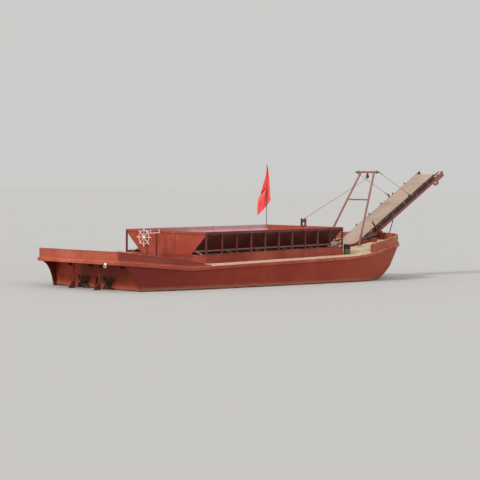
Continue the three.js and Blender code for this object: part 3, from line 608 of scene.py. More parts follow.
stern_paint = painted(
    "stern bulwark red", "a34730", "b4624c", "7a2c1f",
    runs=0.15, dust=0.35, rust=0.5, extra=stern_side_shade,
)
bow_paint = painted(
    "bow bulwark red", "a1482f", "ad6350", "7a3022",
    runs=0.1, dust=0.5, rust=0.5, extra=bow_marks,
)
wear(stern_paint, "stern_bulwark")
wear(bow_paint, "bow_bulwark")


def bow_top(x):
    return deck_at(x, BOW_BULWARK)


def stern_top(x):
    return height(between(STERN_TOP, x - HOPPER_AFT))


def cap_rings(points, top_at):
    """The rounded bar's cross-sections, astride the plate's top edge."""
    section = [(-0.5, -0.5), (-0.5, 0.15), (-0.25, 0.5), (0.25, 0.5), (0.5, 0.15), (0.5, -0.5)]
    rings = []
    for x, y, nx, ny in points:
        cut = [(a * CAP_WIDE - BULWARK / 2, top_at(x) + b * CAP_HIGH) for a, b in section]
        rings.append([(x + nx * out, y + ny * out, z) for out, z in cut])
    return rings


bow_points = [p for p in HULL_LINE if p[0] > station(BOW_STEP)]
bow_points.sort(key=lambda p: math.atan2(p[1], p[0] - station(18.0)))
stern_points = [p for p in HULL_LINE if p[0] < station(-0.8)]
stern_points.sort(key=lambda p: math.atan2(p[1], station(-3.0) - p[0]))
stays = Shape()
for name, points, top_at, finish in (
    ("bow_cap", bow_points, bow_top, bow_paint), ("stern_cap", stern_points, stern_top, stern_paint),
):
    Shape().sweep(cap_rings(points, top_at)).piece(name, finish, "barge", "red_side")
    for x, y, nx, ny in points[2:-2:4]:
        low, rise = deck_at(x) - 0.01, top_at(x) - deck_at(x)
        if rise < LEAST_STAY:
            continue
        head = low + rise * STAY_SHARE
        outline = [(-0.004, low), (STAY_FOOT, low), (STAY_FOOT, low + STAY_TOE)]
        outline += [(STAY_HEAD, head), (-0.004, head)]
        inward = Matrix((
            (-nx, -ny, 0, x - nx * BULWARK),
            (-ny, nx, 0, y - ny * BULWARK),
            (0, 0, 1, 0),
            (0, 0, 0, 1),
        ))
        stays.plate(outline, STAY_PLATE, inward)
stays.piece("bulwark_stays", bow_paint, "barge", "red_side")


# Hopper: sloping plates worn smooth by sand, red end walls, a low coaming and an open frame
# of posts, stringers and struts, all welded.

HOPPER_HALF, HOPPER_LONG, BAY, POST = 3.23, 14.0, 1.4, 0.09
COAMING, SILL, RIM_LOW, RIM_HIGH = 0.5, 0.557, 1.72, 1.85

coaming_paint = painted("coaming red", "8b3325", "a5503e", "65201a", runs=0.5, dust=0.45, rust=0.6)
wall_paint = painted("hopper wall red", "a04330", "ac5742", "7d3022", runs=0.2, dust=0.3, rust=0.4)


def strut_painted_light(where, colour, roughness, relief):
    """Painted light in a pale dust colour on the stringer and the struts that stand inside the posts,
    where little light reaches.
    """
    lit_inside = where.sum("ABSOLUTE", where.apart(1)).step(2.95, 2.8)
    return (lit_inside * 0.6).mix(colour, "a8817b"), roughness, relief


frame_paint = painted("frame red", "7c3029", "915048", "501c17", runs=0.25, dust=0.5, rust=0.9)
hopper_frame_paint = painted(
    "hopper frame red", "652925", "7b3f3b", "461915", runs=0.25, dust=0.5, rust=0.9, extra=strut_painted_light,
)


def sand_worn(name):
    """Plate that sand has polished through its paint inside, and dark red paint on its outer face,
    darkened further as painted shade.
    """
    material, where = start_finish(name)
    slides = where.stretched(1.4, 0.4, 0.4).noise(1.0, 7, 0.6)
    broad = where.noise(0.7, 5, 0.6)
    left = where.noise(1.9, 7, 0.7).step(0.56, 0.66) * where.apart(2).step(height(1.3), height(-0.4))
    seam_lines = where.apart(0).line(PLATE_LENGTH, 0.012)
    # Painted shade on the outer face: its dark red is darker still, because the underside of the plate
    # lies in shade.
    outer_paint_and_shade = (facing(where, 1) * where.apart(1)).step(0.1, 0.3)
    colour = layered(
        broad.step(0.35, 0.7).mix("b88688", "c49b9d"),
        (slides.step(0.42, 0.7) * 0.5, "cfadad"),
        (where.apart(0).step(station(9.0), station(0.0)) * 0.6, "8e4a4b"),
        (left * 0.8, SAND),
        (seam_lines * 0.5, "4e2622"),
        (where.noise(21, 8, 0.7).step(0.66, 0.69) * 0.7, RUST),
        (outer_paint_and_shade, broad.step(0.3, 0.7).mix("431510", "571e17")),
    )
    relief = slides * 0.8 + seam_lines * 1.5 + where.noise(90, 3) * 0.2
    close_finish(where, colour, 0.42 + slides * 0.25 + left * 0.4, relief, 0.004)
    return material


wear(sand_worn("sand worn plate"), "hopper_side_port", "hopper_side_starboard")
wear(hopper_frame_paint, "hopper_frame_port", "hopper_frame_starboard")
wear(coaming_paint, "hopper_coaming", "well_coaming")
wear(wall_paint, "hopper_end_aft", "hopper_end_forward")

SIDES = (("port", 1), ("starboard", -1))
POSTS, GUSSET, GUSSET_PLATE, LAP = 11, 0.07, 0.012, 0.003


def gusset(shape, x, z, toward, up, leg, plane):
    """A three-cornered plate with its corner at x and z and its legs that way along and up."""
    shape.plate([(x, z), (x + toward * leg, z), (x, z + up * leg)], GUSSET_PLATE, plane)


for side, hand in SIDES:
    gussets = Shape()
    in_line = Matrix.Translation((0, hand * (HOPPER_HALF - POST / 2), 0))
    for i in range(POSTS):
        x = station(i * BAY) + (-POST / 2 if i == 0 else POST / 2 if i == POSTS - 1 else 0)
        for toward in (-1, 1):
            if i == (0 if toward < 0 else POSTS - 1):
                continue
            near = x + toward * (POST / 2 - LAP)
            for z, up in ((height(RIM_LOW) + LAP, -1), (height(SILL), 1)):
                gusset(gussets, near, z, toward, up, GUSSET, in_line)
    gussets.piece(f"frame_gussets_{side}", frame_paint, "barge", "red_frame")

rim_welds = Shape()
for hand in (-1, 1):
    for z in (height(RIM_LOW) - 0.001, height(COAMING) + 0.001):
        path = [(station(-0.08) + 0.4 * k, hand * (HOPPER_HALF + 0.0005), z) for k in range(36)]
        bead(rim_welds, path, [(0, hand, 0)] * len(path), 0.02, 0.004)
rim_welds.piece("hopper_welds", frame_paint, "barge", "red_frame")


# Hold conveyor: a rubber belt on rollers along the hopper's bottom and up a slope to the boom's foot,
# dusted with sand, between two painted girders.

BOOM_ANGLE = math.radians(25)
PIVOT = Vector((station(18.75), 0, height(0.05)))


def along_boom(where):
    """The place in the boom's own lie, with its axis turned level."""
    return where.node("VectorRotate", {"rotation_type": "Y_AXIS"}, {
        "Vector": where, "Center": PIVOT, "Angle": BOOM_ANGLE,
    })


def belt_rubber(name, pale, deep, lie=None):
    """Rubber belt grey with sand, worn in long lines, with fine cross marks."""
    material, where = start_finish(name)
    flat = lie(where) if lie else where
    tracks = flat.stretched(0.35, 9.0, 0.35).noise(1.0, 6, 0.7)
    clouds = flat.stretched(0.5, 1.0, 0.5).noise(0.7, 6, 0.62)
    grains = flat.noise(190, 4, 0.85)
    edges = flat.sum("ABSOLUTE", flat.apart(1)).step(0.62, 0.77)
    joins = flat.apart(0).line(3.6, 0.01)
    colour = layered(
        clouds.step(0.3, 0.72).mix(deep, pale),
        (tracks.step(0.45, 0.7) * 0.3, "8a7163"),
        (edges * clouds.step(0.6, 0.4) * 0.5, "77604f"),
        (grains.step(0.6, 0.78) * 0.35, "d8c6b3"),
        (joins * 0.5, "6c5848"),
    )
    close_finish(where, colour, 0.86 + grains * 0.12, grains * 0.6 + clouds * 1.2 + joins * 1.0, 0.004)
    return material


wear(belt_rubber("boom belt rubber", "b5a090", "a48d7f", along_boom), "boom_belt")
wear(belt_rubber("hold belt rubber", "96806f", "7d6657"), "hold_belt")
wear(frame_paint, "hold_conveyor_frame")


def bare_steel(name):
    """Turned and rolled steel, brown with rust in its pits and bright where it rubs."""
    material, where = start_finish(name)
    cloud = where.noise(4.0, 6, 0.65)
    pits = where.noise(45, 6, 0.75)
    brown = cloud.step(0.35, 0.7)
    colour = layered(
        brown.mix("5a5450", "5c3a2a"),
        (pits.step(0.55, 0.68) * 0.5, RUST),
        (edge_wear(where, 0.012) * 0.5, "8a8580"),
    )
    metal = {"Metallic": 0.75 - brown * 0.5}
    close_finish(where, colour, 0.57 + pits * 0.2, pits * 0.5 + cloud * 0.4, 0.003, metal)
    return material


steel = bare_steel("bare steel")
wear(
    steel, "hold_tail_pulley", "hold_head_pulley", "boom_tail_pulley", "boom_head_pulley",
    "luffing_pin_port", "luffing_pin_starboard", "purchase_block", "winch_drum", "stern_tube_port",
    "stern_tube_starboard", "flag_staff",
)


# Boom: a welded box truss in faded pinkish red, with rollers under the belt, edge guides to port,
# a geared motor at its head, and two bearings at its foot.


def truss_dirt_and_shade(where, colour, roughness, relief):
    """Belt dirt, wet and dark, caked on everything above the low chords, with painted shade there under
    the belt.
    """
    lift = along_boom(where).apart(2) - PIVOT.z
    # Dirt and painted shade: everything above the low chords turns dark brown, where the belt shades
    # it.
    caked_and_shaded = (lift + where.noise(6.0, 5, 0.7) * 0.05).step(-0.19, -0.15)
    mud_and_shade = where.noise(9.0, 6, 0.7).step(0.3, 0.7).mix("2c1e17", "45332a")
    relief = relief + caked_and_shaded * where.noise(30, 5, 0.7)
    return (caked_and_shaded * 0.92).mix(colour, mud_and_shade), roughness + caked_and_shaded * 0.2, relief


boom_paint = painted("boom red", "8d5450", "a0726d", "693430", runs=0.3, dust=0.5, rust=0.9)
truss_paint = painted(
    "boom truss red", "854442", "956060", "67322f", runs=0.3, dust=0.3, rust=0.9, extra=truss_dirt_and_shade,
)
wear(truss_paint, "boom_frame")
wear(boom_paint, "boom_gearbox", "sheer_legs")
wear(frame_paint, "boom_rest", "boom_bearing_port", "boom_bearing_starboard")

ON_BOOM = Matrix.Translation(PIVOT) @ Matrix.Rotation(-BOOM_ANGLE, 4, "Y")
BOOM_HALF, BOOM_HEAD, BOOM_LOW, BOOM_TOP = 0.88, 12.57, -0.4, 0.12
CHORD, LOW_CHORD = 0.06, 0.2
LOW_TOP, HIGH_LOW = BOOM_LOW + LOW_CHORD, BOOM_TOP - CHORD
ROLLERS, ROLLER, ROLLER_BAY, ROLLER_BOLTS = 8, 1.2, 1.43, 0.055
STRUTS, STRUT_HALF, STRUT_WEB, STRUT_GUSSET = [4.1, 5.9, 7.7, 9.5, 11.3], 0.05, 0.028, 0.11
RIB_SHIFT, SHEET_START, SHEET_END, SHEET_BACK = 0.9, 3.2, 12.2, 0.035


def on_boom(x, y, z):
    """A point from distances along, across and above the boom."""
    return ON_BOOM @ Vector((x, y, z))


def boom_way(x, y, z):
    """A direction of the boom's own, as it lies."""
    return ON_BOOM.to_3x3() @ Vector((x, y, z))


roller_ends, boom_gussets, side_sheets, strut_faces = Shape(), Shape(), Shape(), Shape()
for hand in (-1, 1):
    for i in range(ROLLERS):
        x, z, out = ROLLER + ROLLER_BAY * i, BOOM_TOP - CHORD / 2, boom_way(0, hand, 0)
        start = on_boom(x, hand * (BOOM_HALF - 0.002), z)
        roller_ends.turned(start, start + out, [(0, 0.026), (0.016, 0.026), (0.022, 0.019)], 16)
        for dx in (-ROLLER_BOLTS, ROLLER_BOLTS):
            roller_ends.bolt(on_boom(x + dx, hand * BOOM_HALF, z), out, 0.011)
    for x in STRUTS:
        plane = ON_BOOM @ Matrix.Translation((0, hand * (BOOM_HALF - 0.012), 0))
        for foot, up in ((LOW_TOP - 0.02, 1), (HIGH_LOW + 0.02, -1)):
            for toward in (-1, 1):
                gusset(boom_gussets, x + toward * STRUT_WEB, foot, toward, up, STRUT_GUSSET, plane)
        rib = ON_BOOM @ Matrix.Translation((x + RIB_SHIFT, hand * (BOOM_HALF + 0.0005), 0))
        boom_gussets.block((-0.03, -0.003, BOOM_LOW + 0.02), (0.03, 0.003, LOW_TOP - 0.02), rib, 0.002)
        face = ON_BOOM @ Matrix.Translation((x, hand * (BOOM_HALF + 0.002), 0))
        strut_faces.block(
            (-STRUT_HALF, -0.004, LOW_TOP + 0.01), (STRUT_HALF, 0.004, HIGH_LOW - 0.01), face, 0.002,
        )
    y = hand * (BOOM_HALF - SHEET_BACK)
    low, high = (SHEET_START, y - 0.003, LOW_TOP - 0.004), (SHEET_END, y + 0.003, HIGH_LOW + 0.004)
    side_sheets.block(low, high, ON_BOOM, 0.001)
roller_ends.piece("boom_roller_ends", steel, "boom", "steel")
boom_gussets.piece("boom_gussets", truss_paint, "boom", "red_boom")
side_sheets.piece("boom_side_sheets", truss_paint, "boom", "red_boom")
strut_faces.piece("boom_strut_faces", boom_paint, "boom", "red_boom")

GEAR_FACE = -BOOM_HALF - 0.2403
FINS, FIN_STEP, FIN_LOW, FIN_START, FIN_END = 9, 0.025, -0.545, 12.14, 12.54
COVER_LOW, COVER_HIGH = (12.40, -0.31), (13.40, 0.04)
COVER_BOLTS = [(x, z) for x in (12.45, 12.75, 13.05, 13.35) for z in (-0.27, 0.0)]
CAP_UP, CAP_OUT, HEAD_CAP, GEAR_CAP = 0.06, 0.05, 0.085, (13.22, 0.07)
BEARING_OUT, BEARING_BOLTS, BEARING_TOP = 1.04, 0.12, 0.13
outward = boom_way(0, -1, 0)
motor = Shape()
for z in [FIN_LOW + FIN_STEP * k for k in range(FINS)]:
    low, high = (FIN_START, GEAR_FACE + 0.008, z - 0.004), (FIN_END, GEAR_FACE + 0.03, z + 0.004)
    motor.block(low, high, ON_BOOM, 0.002)
motor.block((12.25, GEAR_FACE + 0.03, -0.60), (12.42, GEAR_FACE + 0.16, -0.555), ON_BOOM, 0.01)
low, high = ((x, GEAR_FACE + y, z) for (x, z), y in ((COVER_LOW, -0.012), (COVER_HIGH, 0.002)))
motor.block(low, high, ON_BOOM, 0.006)
for x, z in COVER_BOLTS:
    motor.bolt(on_boom(x, GEAR_FACE - 0.012, z), outward, 0.014)
motor.piece("boom_motor_fins", boom_paint, "boom", "red_boom")

head_caps = Shape()
for x, r in ((BOOM_HEAD, HEAD_CAP), GEAR_CAP):
    cap = on_boom(x, GEAR_FACE + CAP_OUT, CAP_UP)
    head_caps.turned(cap, cap + outward, [(0, r), (0.055, r), (0.075, r * 0.8), (0.08, r * 0.4)], 24)
head_caps.piece("boom_head_caps", steel, "boom", "steel")

bearing_bolts = Shape()
for hand in (-1, 1):
    for dx in (-BEARING_BOLTS, BEARING_BOLTS):
        place = (PIVOT.x + dx, hand * BEARING_OUT, PIVOT.z + BEARING_TOP)
        bearing_bolts.bolt(place, (0, 0, 1), 0.02)
bearing_bolts.piece("boom_bearing_bolts", steel, "barge", "steel")


# Boom stay: a thin steel bar that steadies the boom's low chord on its starboard side. It stands
# in a small flat shoe on the edge of the bow bulwark.

STAY_X, STAY_Y, STAY_REACH, STAY_BAR, STAY_SUNK = station(22.96), -1.30, 5.72, 0.034, 0.03
stay_foot = Vector((STAY_X, STAY_Y, deck_at(STAY_X, BOW_BULWARK - STAY_SUNK)))
stay_head = on_boom(STAY_REACH, 0, BOOM_LOW - STAY_SUNK)
stay_head.y = -BOOM_HALF
boom_stay = Shape().rod(stay_foot, stay_head, STAY_BAR, 14)
boom_stay.block((-0.05, -0.04, -0.03), (0.05, 0.04, 0.012), Matrix.Translation(stay_foot), 0.004)
boom_stay.piece("boom_stay", steel, "barge", "steel")


# Sheer legs: two raked pipes with a cross bar and a head beam, standing on foot plates,
# with wire ropes down to the boom's lugs and another to the winch.

LEG_FOOT = Vector((station(18.74), 1.45, deck_at(station(18.74))))
LEG_HEAD = Vector((station(21.95), 0.57, height(5.6)))
ROPE, ROPE_ACROSS = 0.014, BOOM_HALF + 0.112
HEAD_BAR, HEAD_BOLTS, LUG = ROPE_ACROSS - 0.2, 0.07, (8.48, 0.33)
COLLARS, SHOE, SHOE_AFT, SHOE_FORE, SHOE_BOLTS = (0.10, 0.62, 0.97), 0.06, -0.17, 0.21, 0.12
ACROSS = Vector((0, 1, 0))


def leg_point(t, hand):
    p = LEG_FOOT.lerp(LEG_HEAD, t)
    return Vector((p.x, p.y * hand, p.z))


collars = Shape()
for hand in (-1, 1):
    for t in COLLARS:
        band = [(0, 0.076), (0.008, 0.086), (0.03, 0.086), (0.038, 0.076)]
        collars.turned(leg_point(t, hand), leg_point(t + 0.02, hand), band, 20)
    foot = leg_point(0, hand)
    for dx in (SHOE_AFT, SHOE_FORE):
        z = max(deck_at(foot.x + dx), foot.z + SHOE) if dx < 0 else foot.z + SHOE
        for dy in (-SHOE_BOLTS, SHOE_BOLTS):
            collars.bolt((foot.x + dx, foot.y + dy, z), (0, 0, 1), 0.02)
    for off in (-HEAD_BOLTS, HEAD_BOLTS):
        place = (LEG_HEAD.x + off, hand * (HEAD_BAR + 0.012), LEG_HEAD.z + off)
        collars.bolt(place, (0, hand, 0), 0.018)
collars.piece("leg_collars", boom_paint, "barge", "red_boom")


def wire(name):
    """Galvanised wire rope, dull with old grease and dust."""
    material, where = start_finish(name)
    grime = where.noise(6, 5, 0.7)
    colour = grime.step(0.35, 0.7).mix("57524a", "7d7466")
    colour = (where.noise(40, 4, 0.7).step(0.58, 0.7) * 0.5).mix(colour, RUST)
    close_finish(where, colour, 0.55 + grime * 0.3, grime, 0.001, {"Metallic": 0.55})
    return material


wire_rope = wire("wire rope")
STRANDS, LAY, STRAND_OUT, STRAND = 6, 0.20, 0.63, 0.36


def stranded(shape, start, end, radius):
    """A laid wire rope: strands that wind round each other from start to end."""
    length, axis = (end - start).length, (end - start).normalized()
    across = axis.orthogonal().normalized()
    other = axis.cross(across)
    count = max(8, int(length / 0.03))
    for s in range(STRANDS):
        rings = []
        for i in range(count + 1):
            along = length * i / count
            turn = 2 * math.pi * (along / LAY + s / STRANDS)
            out = across * math.cos(turn) + other * math.sin(turn)
            middle = start + axis * along + out * radius * STRAND_OUT
            rings.append(ring(middle, out, axis.cross(out), radius * STRAND, 5))
        shape.sweep(rings)
    return shape


def rope_clip(shape, place, along, radius):
    """A rope clip: its saddle, the bow over the rope and two nuts."""
    up = (Vector((0, 0, 1)) - along * along.z).normalized()
    side = along.cross(up)
    for k in (-1, 1):
        base = place + side * k * radius * 1.5
        shape.rod(base - up * radius * 1.8, base + up * radius * 2.4, radius * 0.35, 8)
        nut = [(0, radius * 0.7), (radius * 0.7, radius * 0.7)]
        shape.turned(base - up * radius * 2.2, base, nut, 6)
    for lift, half, thick in ((-1.0, 1.9, 0.7), (2.2, 1.8, 0.4)):
        middle, reach = place + up * radius * lift, side * radius * half
        shape.rod(middle - reach, middle + reach, radius * thick, 8)


def rope_eye(shape, pin, way, bend=0.045, spread=0.012):
    """The rope's end bent back round its thimble on a pin, and the clips that hold it."""
    thimble = [(0, 0.038), (0.006, bend), (0.022, bend), (0.028, 0.038)]
    shape.turned(pin - ACROSS * ROPE, pin + ACROSS * ROPE, thimble, 20)
    out = way.cross(ACROSS).normalized()
    loop = []
    for t in [-1 + k / 6 for k in range(13)]:
        if abs(t) > 0.6:
            reach = (abs(t) - 0.6) / 0.4
            off = math.copysign(bend * (1 - reach) + spread, t)
            loop.append(pin + way * (0.02 + 0.16 * reach) + out * off)
        else:
            a = t / 0.6 * math.pi / 2
            loop.append(pin - way * bend * math.cos(a) + out * (bend + spread) * math.sin(a))
    rings = []
    for k, place in enumerate(loop):
        onward = (loop[min(12, k + 1)] - loop[max(0, k - 1)]).normalized()
        rings.append(ring(place, ACROSS, onward.cross(ACROSS), 0.011, 8))
    shape.sweep(rings)
    for k in range(3):
        rope_clip(shape, pin + way * (0.24 + 0.12 * k), way, ROPE)


head_pin = Vector((LEG_HEAD.x, 0, LEG_HEAD.z))
lug_pin = on_boom(LUG[0], 0, LUG[1])
lug_pin.y = 0
run = (lug_pin - head_pin).normalized()
for side, hand in SIDES:
    aside = ACROSS * (hand * ROPE_ACROSS)
    luff = stranded(Shape(), head_pin + aside + run * 0.09, lug_pin + aside - run * 0.09, ROPE)
    rope_eye(luff, head_pin + aside, run)
    rope_eye(luff, lug_pin + aside, -run)
    made = luff.piece(f"luffing_wire_{side}", wire_rope, "luffing_ropes", "wire")
    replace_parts(made, f"luffing_rope_{side}")

WINCH_LIFT, WINCH_FOOT, BARREL, SHEAVE_DOWN = 0.3503, 0.0303, 0.09, 0.32
WINCH = Vector((station(HOPPER_LONG + POST / 2), 0, height(RIM_HIGH + WINCH_LIFT)))
sheave_z = LEG_HEAD.z - SHEAVE_DOWN
rope_top = Vector((LEG_HEAD.x - 0.045, 0, sheave_z - 0.13 - ROPE))
slope = math.atan2(rope_top.z - WINCH.z, rope_top.x - WINCH.x)
rope_foot = WINCH + Vector((-math.sin(slope), 0, math.cos(slope))) * (BARREL + ROPE)
hauling = stranded(Shape(), rope_top, rope_foot, ROPE)
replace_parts(hauling.piece("hauling_wire", wire_rope, "barge", "wire"), "hauling_rope")

cheeks = Shape()
for hand in (-1, 1):
    near, far, head = (Vector((LEG_HEAD.x, hand * y, sheave_z)) for y in (0.048, 0.0672, 0.0624))
    cheeks.turned(near, far, [(0, 0.132), (0.01, 0.132), (0.014, 0.12)], 28)
    cheeks.bolt(head, (0, hand, 0), 0.026)
cheeks.piece("block_cheeks", steel, "barge", "steel")


# Winch: a small drum between two plates on the middle of the hopper's forward rim,
# with the hauling rope's turns on it.

COIL, TURN_STEP, TURNS, COIL_START = BARREL + 0.0115, 0.025, 8, -0.102
wear(frame_paint, "winch_frame")
rings = []
for i in range(TURNS * 24 + 1):
    a = 2 * math.pi * i / 24
    out = Vector((math.cos(a), 0, math.sin(a)))
    middle = WINCH + out * COIL + ACROSS * (COIL_START + TURN_STEP * i / 24)
    rings.append(ring(middle, out, ACROSS, 0.0122, 8))
Shape().sweep(rings).piece("winch_rope_turns", wire_rope, "barge", "wire")
winch_bolts = Shape()
for dx in (-0.12, 0.12):
    for dy in (-0.1, 0.1):
        winch_bolts.bolt((WINCH.x + dx, dy, height(RIM_HIGH) + WINCH_FOOT), (0, 0, 1), 0.014)
winch_bolts.piece("winch_bolts", steel, "barge", "steel")


# Steering position: a white painted wheel with eight spokes on a red pedestal, and a post that carries
# the white bar with the engine levers.

def white_enamel(name):
    """White gloss paint, yellowed, chipped down to rust and dirty where hands hold it."""
    material, where = start_finish(name)
    cloud = where.noise(3.5, 5, 0.6)
    chips = where.noise(24, 8, 0.75).step(0.665, 0.69)
    handled = edge_wear(where, 0.008) * where.noise(14, 4).step(0.5, 0.65)
    colour = layered(
        cloud.step(0.3, 0.75).mix("f2efe8", "d8d0bf"), (chips * 0.8, RUST), (handled * 0.6, "8d7a66"),
    )
    close_finish(where, colour, 0.38 + cloud * 0.2 + chips * 0.3, cloud * 0.3 - chips * 0.5, 0.002)
    return material


enamel = white_enamel("white enamel")
wear(enamel, "helm_wheel", "lever_bar", "mooring_ring")
wear(wall_paint, "helm_pedestal")
wear(frame_paint, "helm_post")

HELM = Vector((station(-1.95), 0, height(1.5)))
RIM, TIP, SPOKES, HUB_BOLTS, HUB_RING = 0.4, 0.56, 8, 6, 0.045
HANDLE = [
    (0, 0.019), (0.012, 0.023), (0.03, 0.019), (0.08, 0.026),
    (0.115, 0.024), (0.14, 0.0195), (0.1445, 0.010),
]
SPOKE = [(0, 0.02), (0.05, 0.021), (0.09, 0.0155), (0.15, 0.019), (0.2, 0.016), (0.24, 0.0145)]
HUB = [(0, 0.02), (0.004, 0.03), (0.012, 0.045), (0.014, 0.062), (0.05, 0.064)]


def round_shaft(number, count):
    """The way out from a fore and aft shaft for one of so many spokes or bolts."""
    a = 2 * math.pi * number / count
    return Vector((0, math.cos(a), math.sin(a)))


wheel = Shape()
for i in range(SPOKES):
    out = round_shaft(i, SPOKES)
    wheel.turned(HELM + out * (RIM + 0.015), HELM + out * TIP, HANDLE, 14)
    wheel.turned(HELM + out * 0.055, HELM + out * 0.3, SPOKE, 14)
wheel.turned(HELM - Vector((0.042, 0, 0)), HELM, HUB, 24)
for k in range(HUB_BOLTS):
    bolt_at = HELM + round_shaft(k + 0.5, HUB_BOLTS) * HUB_RING - Vector((0.03, 0, 0))
    wheel.bolt(bolt_at, (-1, 0, 0), 0.007)
wheel.piece("helm_wheel_turnings", enamel, "helm_body", "white")


# Stern gear: two cast bronze propellers on steel shafts, two plate rudders with welded ribs
# on their stocks, and the plate skeg between them, all under the stern overhang.

def bronze_cast(name):
    """Cast bronze, brown to nearly black, with a little bare metal on the edges."""
    material, where = start_finish(name)
    cloud = where.noise(7, 6, 0.65)
    colour = layered(
        cloud.step(0.3, 0.7).mix("4a3220", "2e1d14"),
        (where.noise(16, 6, 0.7).step(0.58, 0.7) * 0.5, "4c5a45"),
        (edge_wear(where, 0.01) * 0.5, "8a6a3c"),
    )
    close_finish(where, colour, 0.5 + cloud * 0.35, cloud, 0.003, {"Metallic": 0.6 - cloud * 0.3})
    return material


bronze = bronze_cast("cast bronze")
rudder_paint = painted("rudder red", "6b2618", "7d3424", "3c140d", runs=0.6, dust=0.2, rust=0.9)
wear(rudder_paint, "skeg", "rudder_port", "rudder_starboard")
SHAFT_ACROSS, SHAFT_Z, HUB_X, STOCK_X = 1.0, height(-0.96), station(-6.0), station(-6.65)
BLADES, BLADE_ROOT, BLADE_REACH, BLADE_WIDE = 4, 0.07, 0.535, 0.235
BLADE_CUTS, BLADE_PITCH, BLADE_TIP, FLANGE_BOLTS, FLANGE_RING = 10, 0.42, 0.45, 8, 0.143
BOSS = [
    (0, 0.03), (0.01, 0.055), (0.04, 0.074), (0.09, 0.085),
    (0.18, 0.085), (0.185, 0.036), (0.33, 0.036),
]


def blade(hub, turn, hand):
    """One blade's cross-sections from its root to its rounded tip, twisted as it goes out."""
    rings = []
    for j in range(BLADE_CUTS):
        share = j / (BLADE_CUTS - 1)
        r = BLADE_ROOT + (BLADE_REACH - BLADE_ROOT) * share
        wide = BLADE_WIDE * (0.34 + math.sin(math.pi * min(1.0, 0.16 + 0.78 * share)) ** 0.9)
        wide *= 1 if share < 1 else BLADE_TIP
        thick = 0.016 * (1 - share) + 0.004
        pitch = hand * math.atan2(BLADE_PITCH, 2 * math.pi * r * 0.55)
        cut = []
        for k in range(14):
            b = 2 * math.pi * k / 14
            u = wide / 2 * math.cos(b)
            v = thick / 2 * math.sin(b) + 0.08 * (u / wide) ** 2
            x, y = u * math.sin(pitch) + v * math.cos(pitch), u * math.cos(pitch)
            cut.append(hub + (turn @ Vector((x, y, r))))
        rings.append(cut)
    return rings


for side, hand in SIDES:
    hub = Vector((HUB_X, hand * SHAFT_ACROSS, SHAFT_Z))
    screw = Shape().turned(hub - Vector((0.09, 0, 0)), hub, BOSS, 28)
    for i in range(BLADES):
        screw.sweep(blade(hub, Matrix.Rotation(2 * math.pi * (i + 0.5) / BLADES, 4, "X"), hand))
    made = screw.piece(f"propeller_cast_{side}", bronze, f"propeller_{side}_body", "bronze", 50)
    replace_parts(made, f"propeller_{side}")

    ribs = Shape()
    stock = Matrix.Translation((STOCK_X, hand * SHAFT_ACROSS, SHAFT_Z))
    for z, aft in ((-0.70, -0.38), (-0.40, -0.38), (-0.08, -0.22)):
        for near, far in ((-0.036, -0.024), (0.024, 0.036)):
            ribs.block((aft, near, z - 0.012), (0.1, far, z + 0.012), stock, 0.003)
    ribs.piece(f"rudder_ribs_{side}", rudder_paint, f"rudder_{side}_body", "red_hull")

    flange = Shape()
    gland = Vector((station(TRANSOM) - 0.03, hand * SHAFT_ACROSS, SHAFT_Z))
    flange.turned(gland, gland + Vector((1, 0, 0)), [(0, 0.165), (0.006, 0.175), (0.029, 0.175)], 28)
    for k in range(FLANGE_BOLTS):
        flange.bolt(gland + round_shaft(k, FLANGE_BOLTS) * FLANGE_RING, (-1, 0, 0), 0.012)
    flange.piece(f"stern_tube_flange_{side}", steel, "barge", "steel")


# Engine hatch: a welded coaming on the stern deck with a hinged plate lid. Round bar grips and
# flat hinge straps are welded and bolted to the lid.

wear(coaming_paint, "hatch_coaming")
wear(wall_paint, "hatch_lid")
HATCH_AFT, HATCH_FORE, LID_TOP = station(-5.2), station(-3.2), height(0.62) + 0.05
GRIP_HALF, GRIP_HIGH, GRIP_BAR = 0.09, 0.06, 0.009
grips = Shape()
for y in (-0.45, 0.45):
    x = HATCH_FORE - 0.32
    for end in (y - GRIP_HALF, y + GRIP_HALF):
        grips.rod((x, end, LID_TOP - 0.004), (x, end, LID_TOP + GRIP_HIGH), GRIP_BAR, 10)
    z, half = LID_TOP + GRIP_HIGH - 0.004, GRIP_HALF + 0.008
    grips.rod((x, y - half, z), (x, y + half, z), GRIP_BAR, 10)
for y in (-0.5, 0.5):
    for dx in (0.145, 0.325):
        grips.bolt((HATCH_AFT + dx, y, LID_TOP), (0, 0, 1), 0.011)
    low = (HATCH_AFT + 0.02, y - 0.035, LID_TOP - 0.002)
    grips.block(low, (HATCH_AFT + 0.36, y + 0.035, LID_TOP + 0.007), None, 0.002)
grips.piece("hatch_grips", steel, "hatch_lid_body", "steel")


# Deck fittings: double bitts of welded pipe at the four corners, and a pressed steel fuel drum
# on the starboard side deck, black above and yellow-green below, with two bungs in its lid.

def drum_paint(name):
    """Old drum: black upper half, a worn yellow-green band, rust at the hoops and sand on the lid."""
    material, where = start_finish(name)
    cloud = where.noise(9, 6, 0.7)
    line = where.apart(2) - height(0) + cloud * 0.05
    runs = where.stretched(14, 14, 1.5).noise(1, 6, 0.7).step(0.56, 0.66)
    colour = layered(
        line.step(0.40, 0.43).mix("514f33", "161a15"),
        (line.step(0.14, 0.11), "1d211a"),
        (runs * 0.5, "4c4a38"),
        (cloud.step(0.6, 0.68) * 0.8, RUST),
        (edge_wear(where, 0.01) * 0.5, "5b3a28"),
        (facing_up(where) * cloud.step(0.4, 0.55) * 0.7, SAND),
    )
    close_finish(where, colour, 0.45 + cloud * 0.3, cloud, 0.004)
    return material


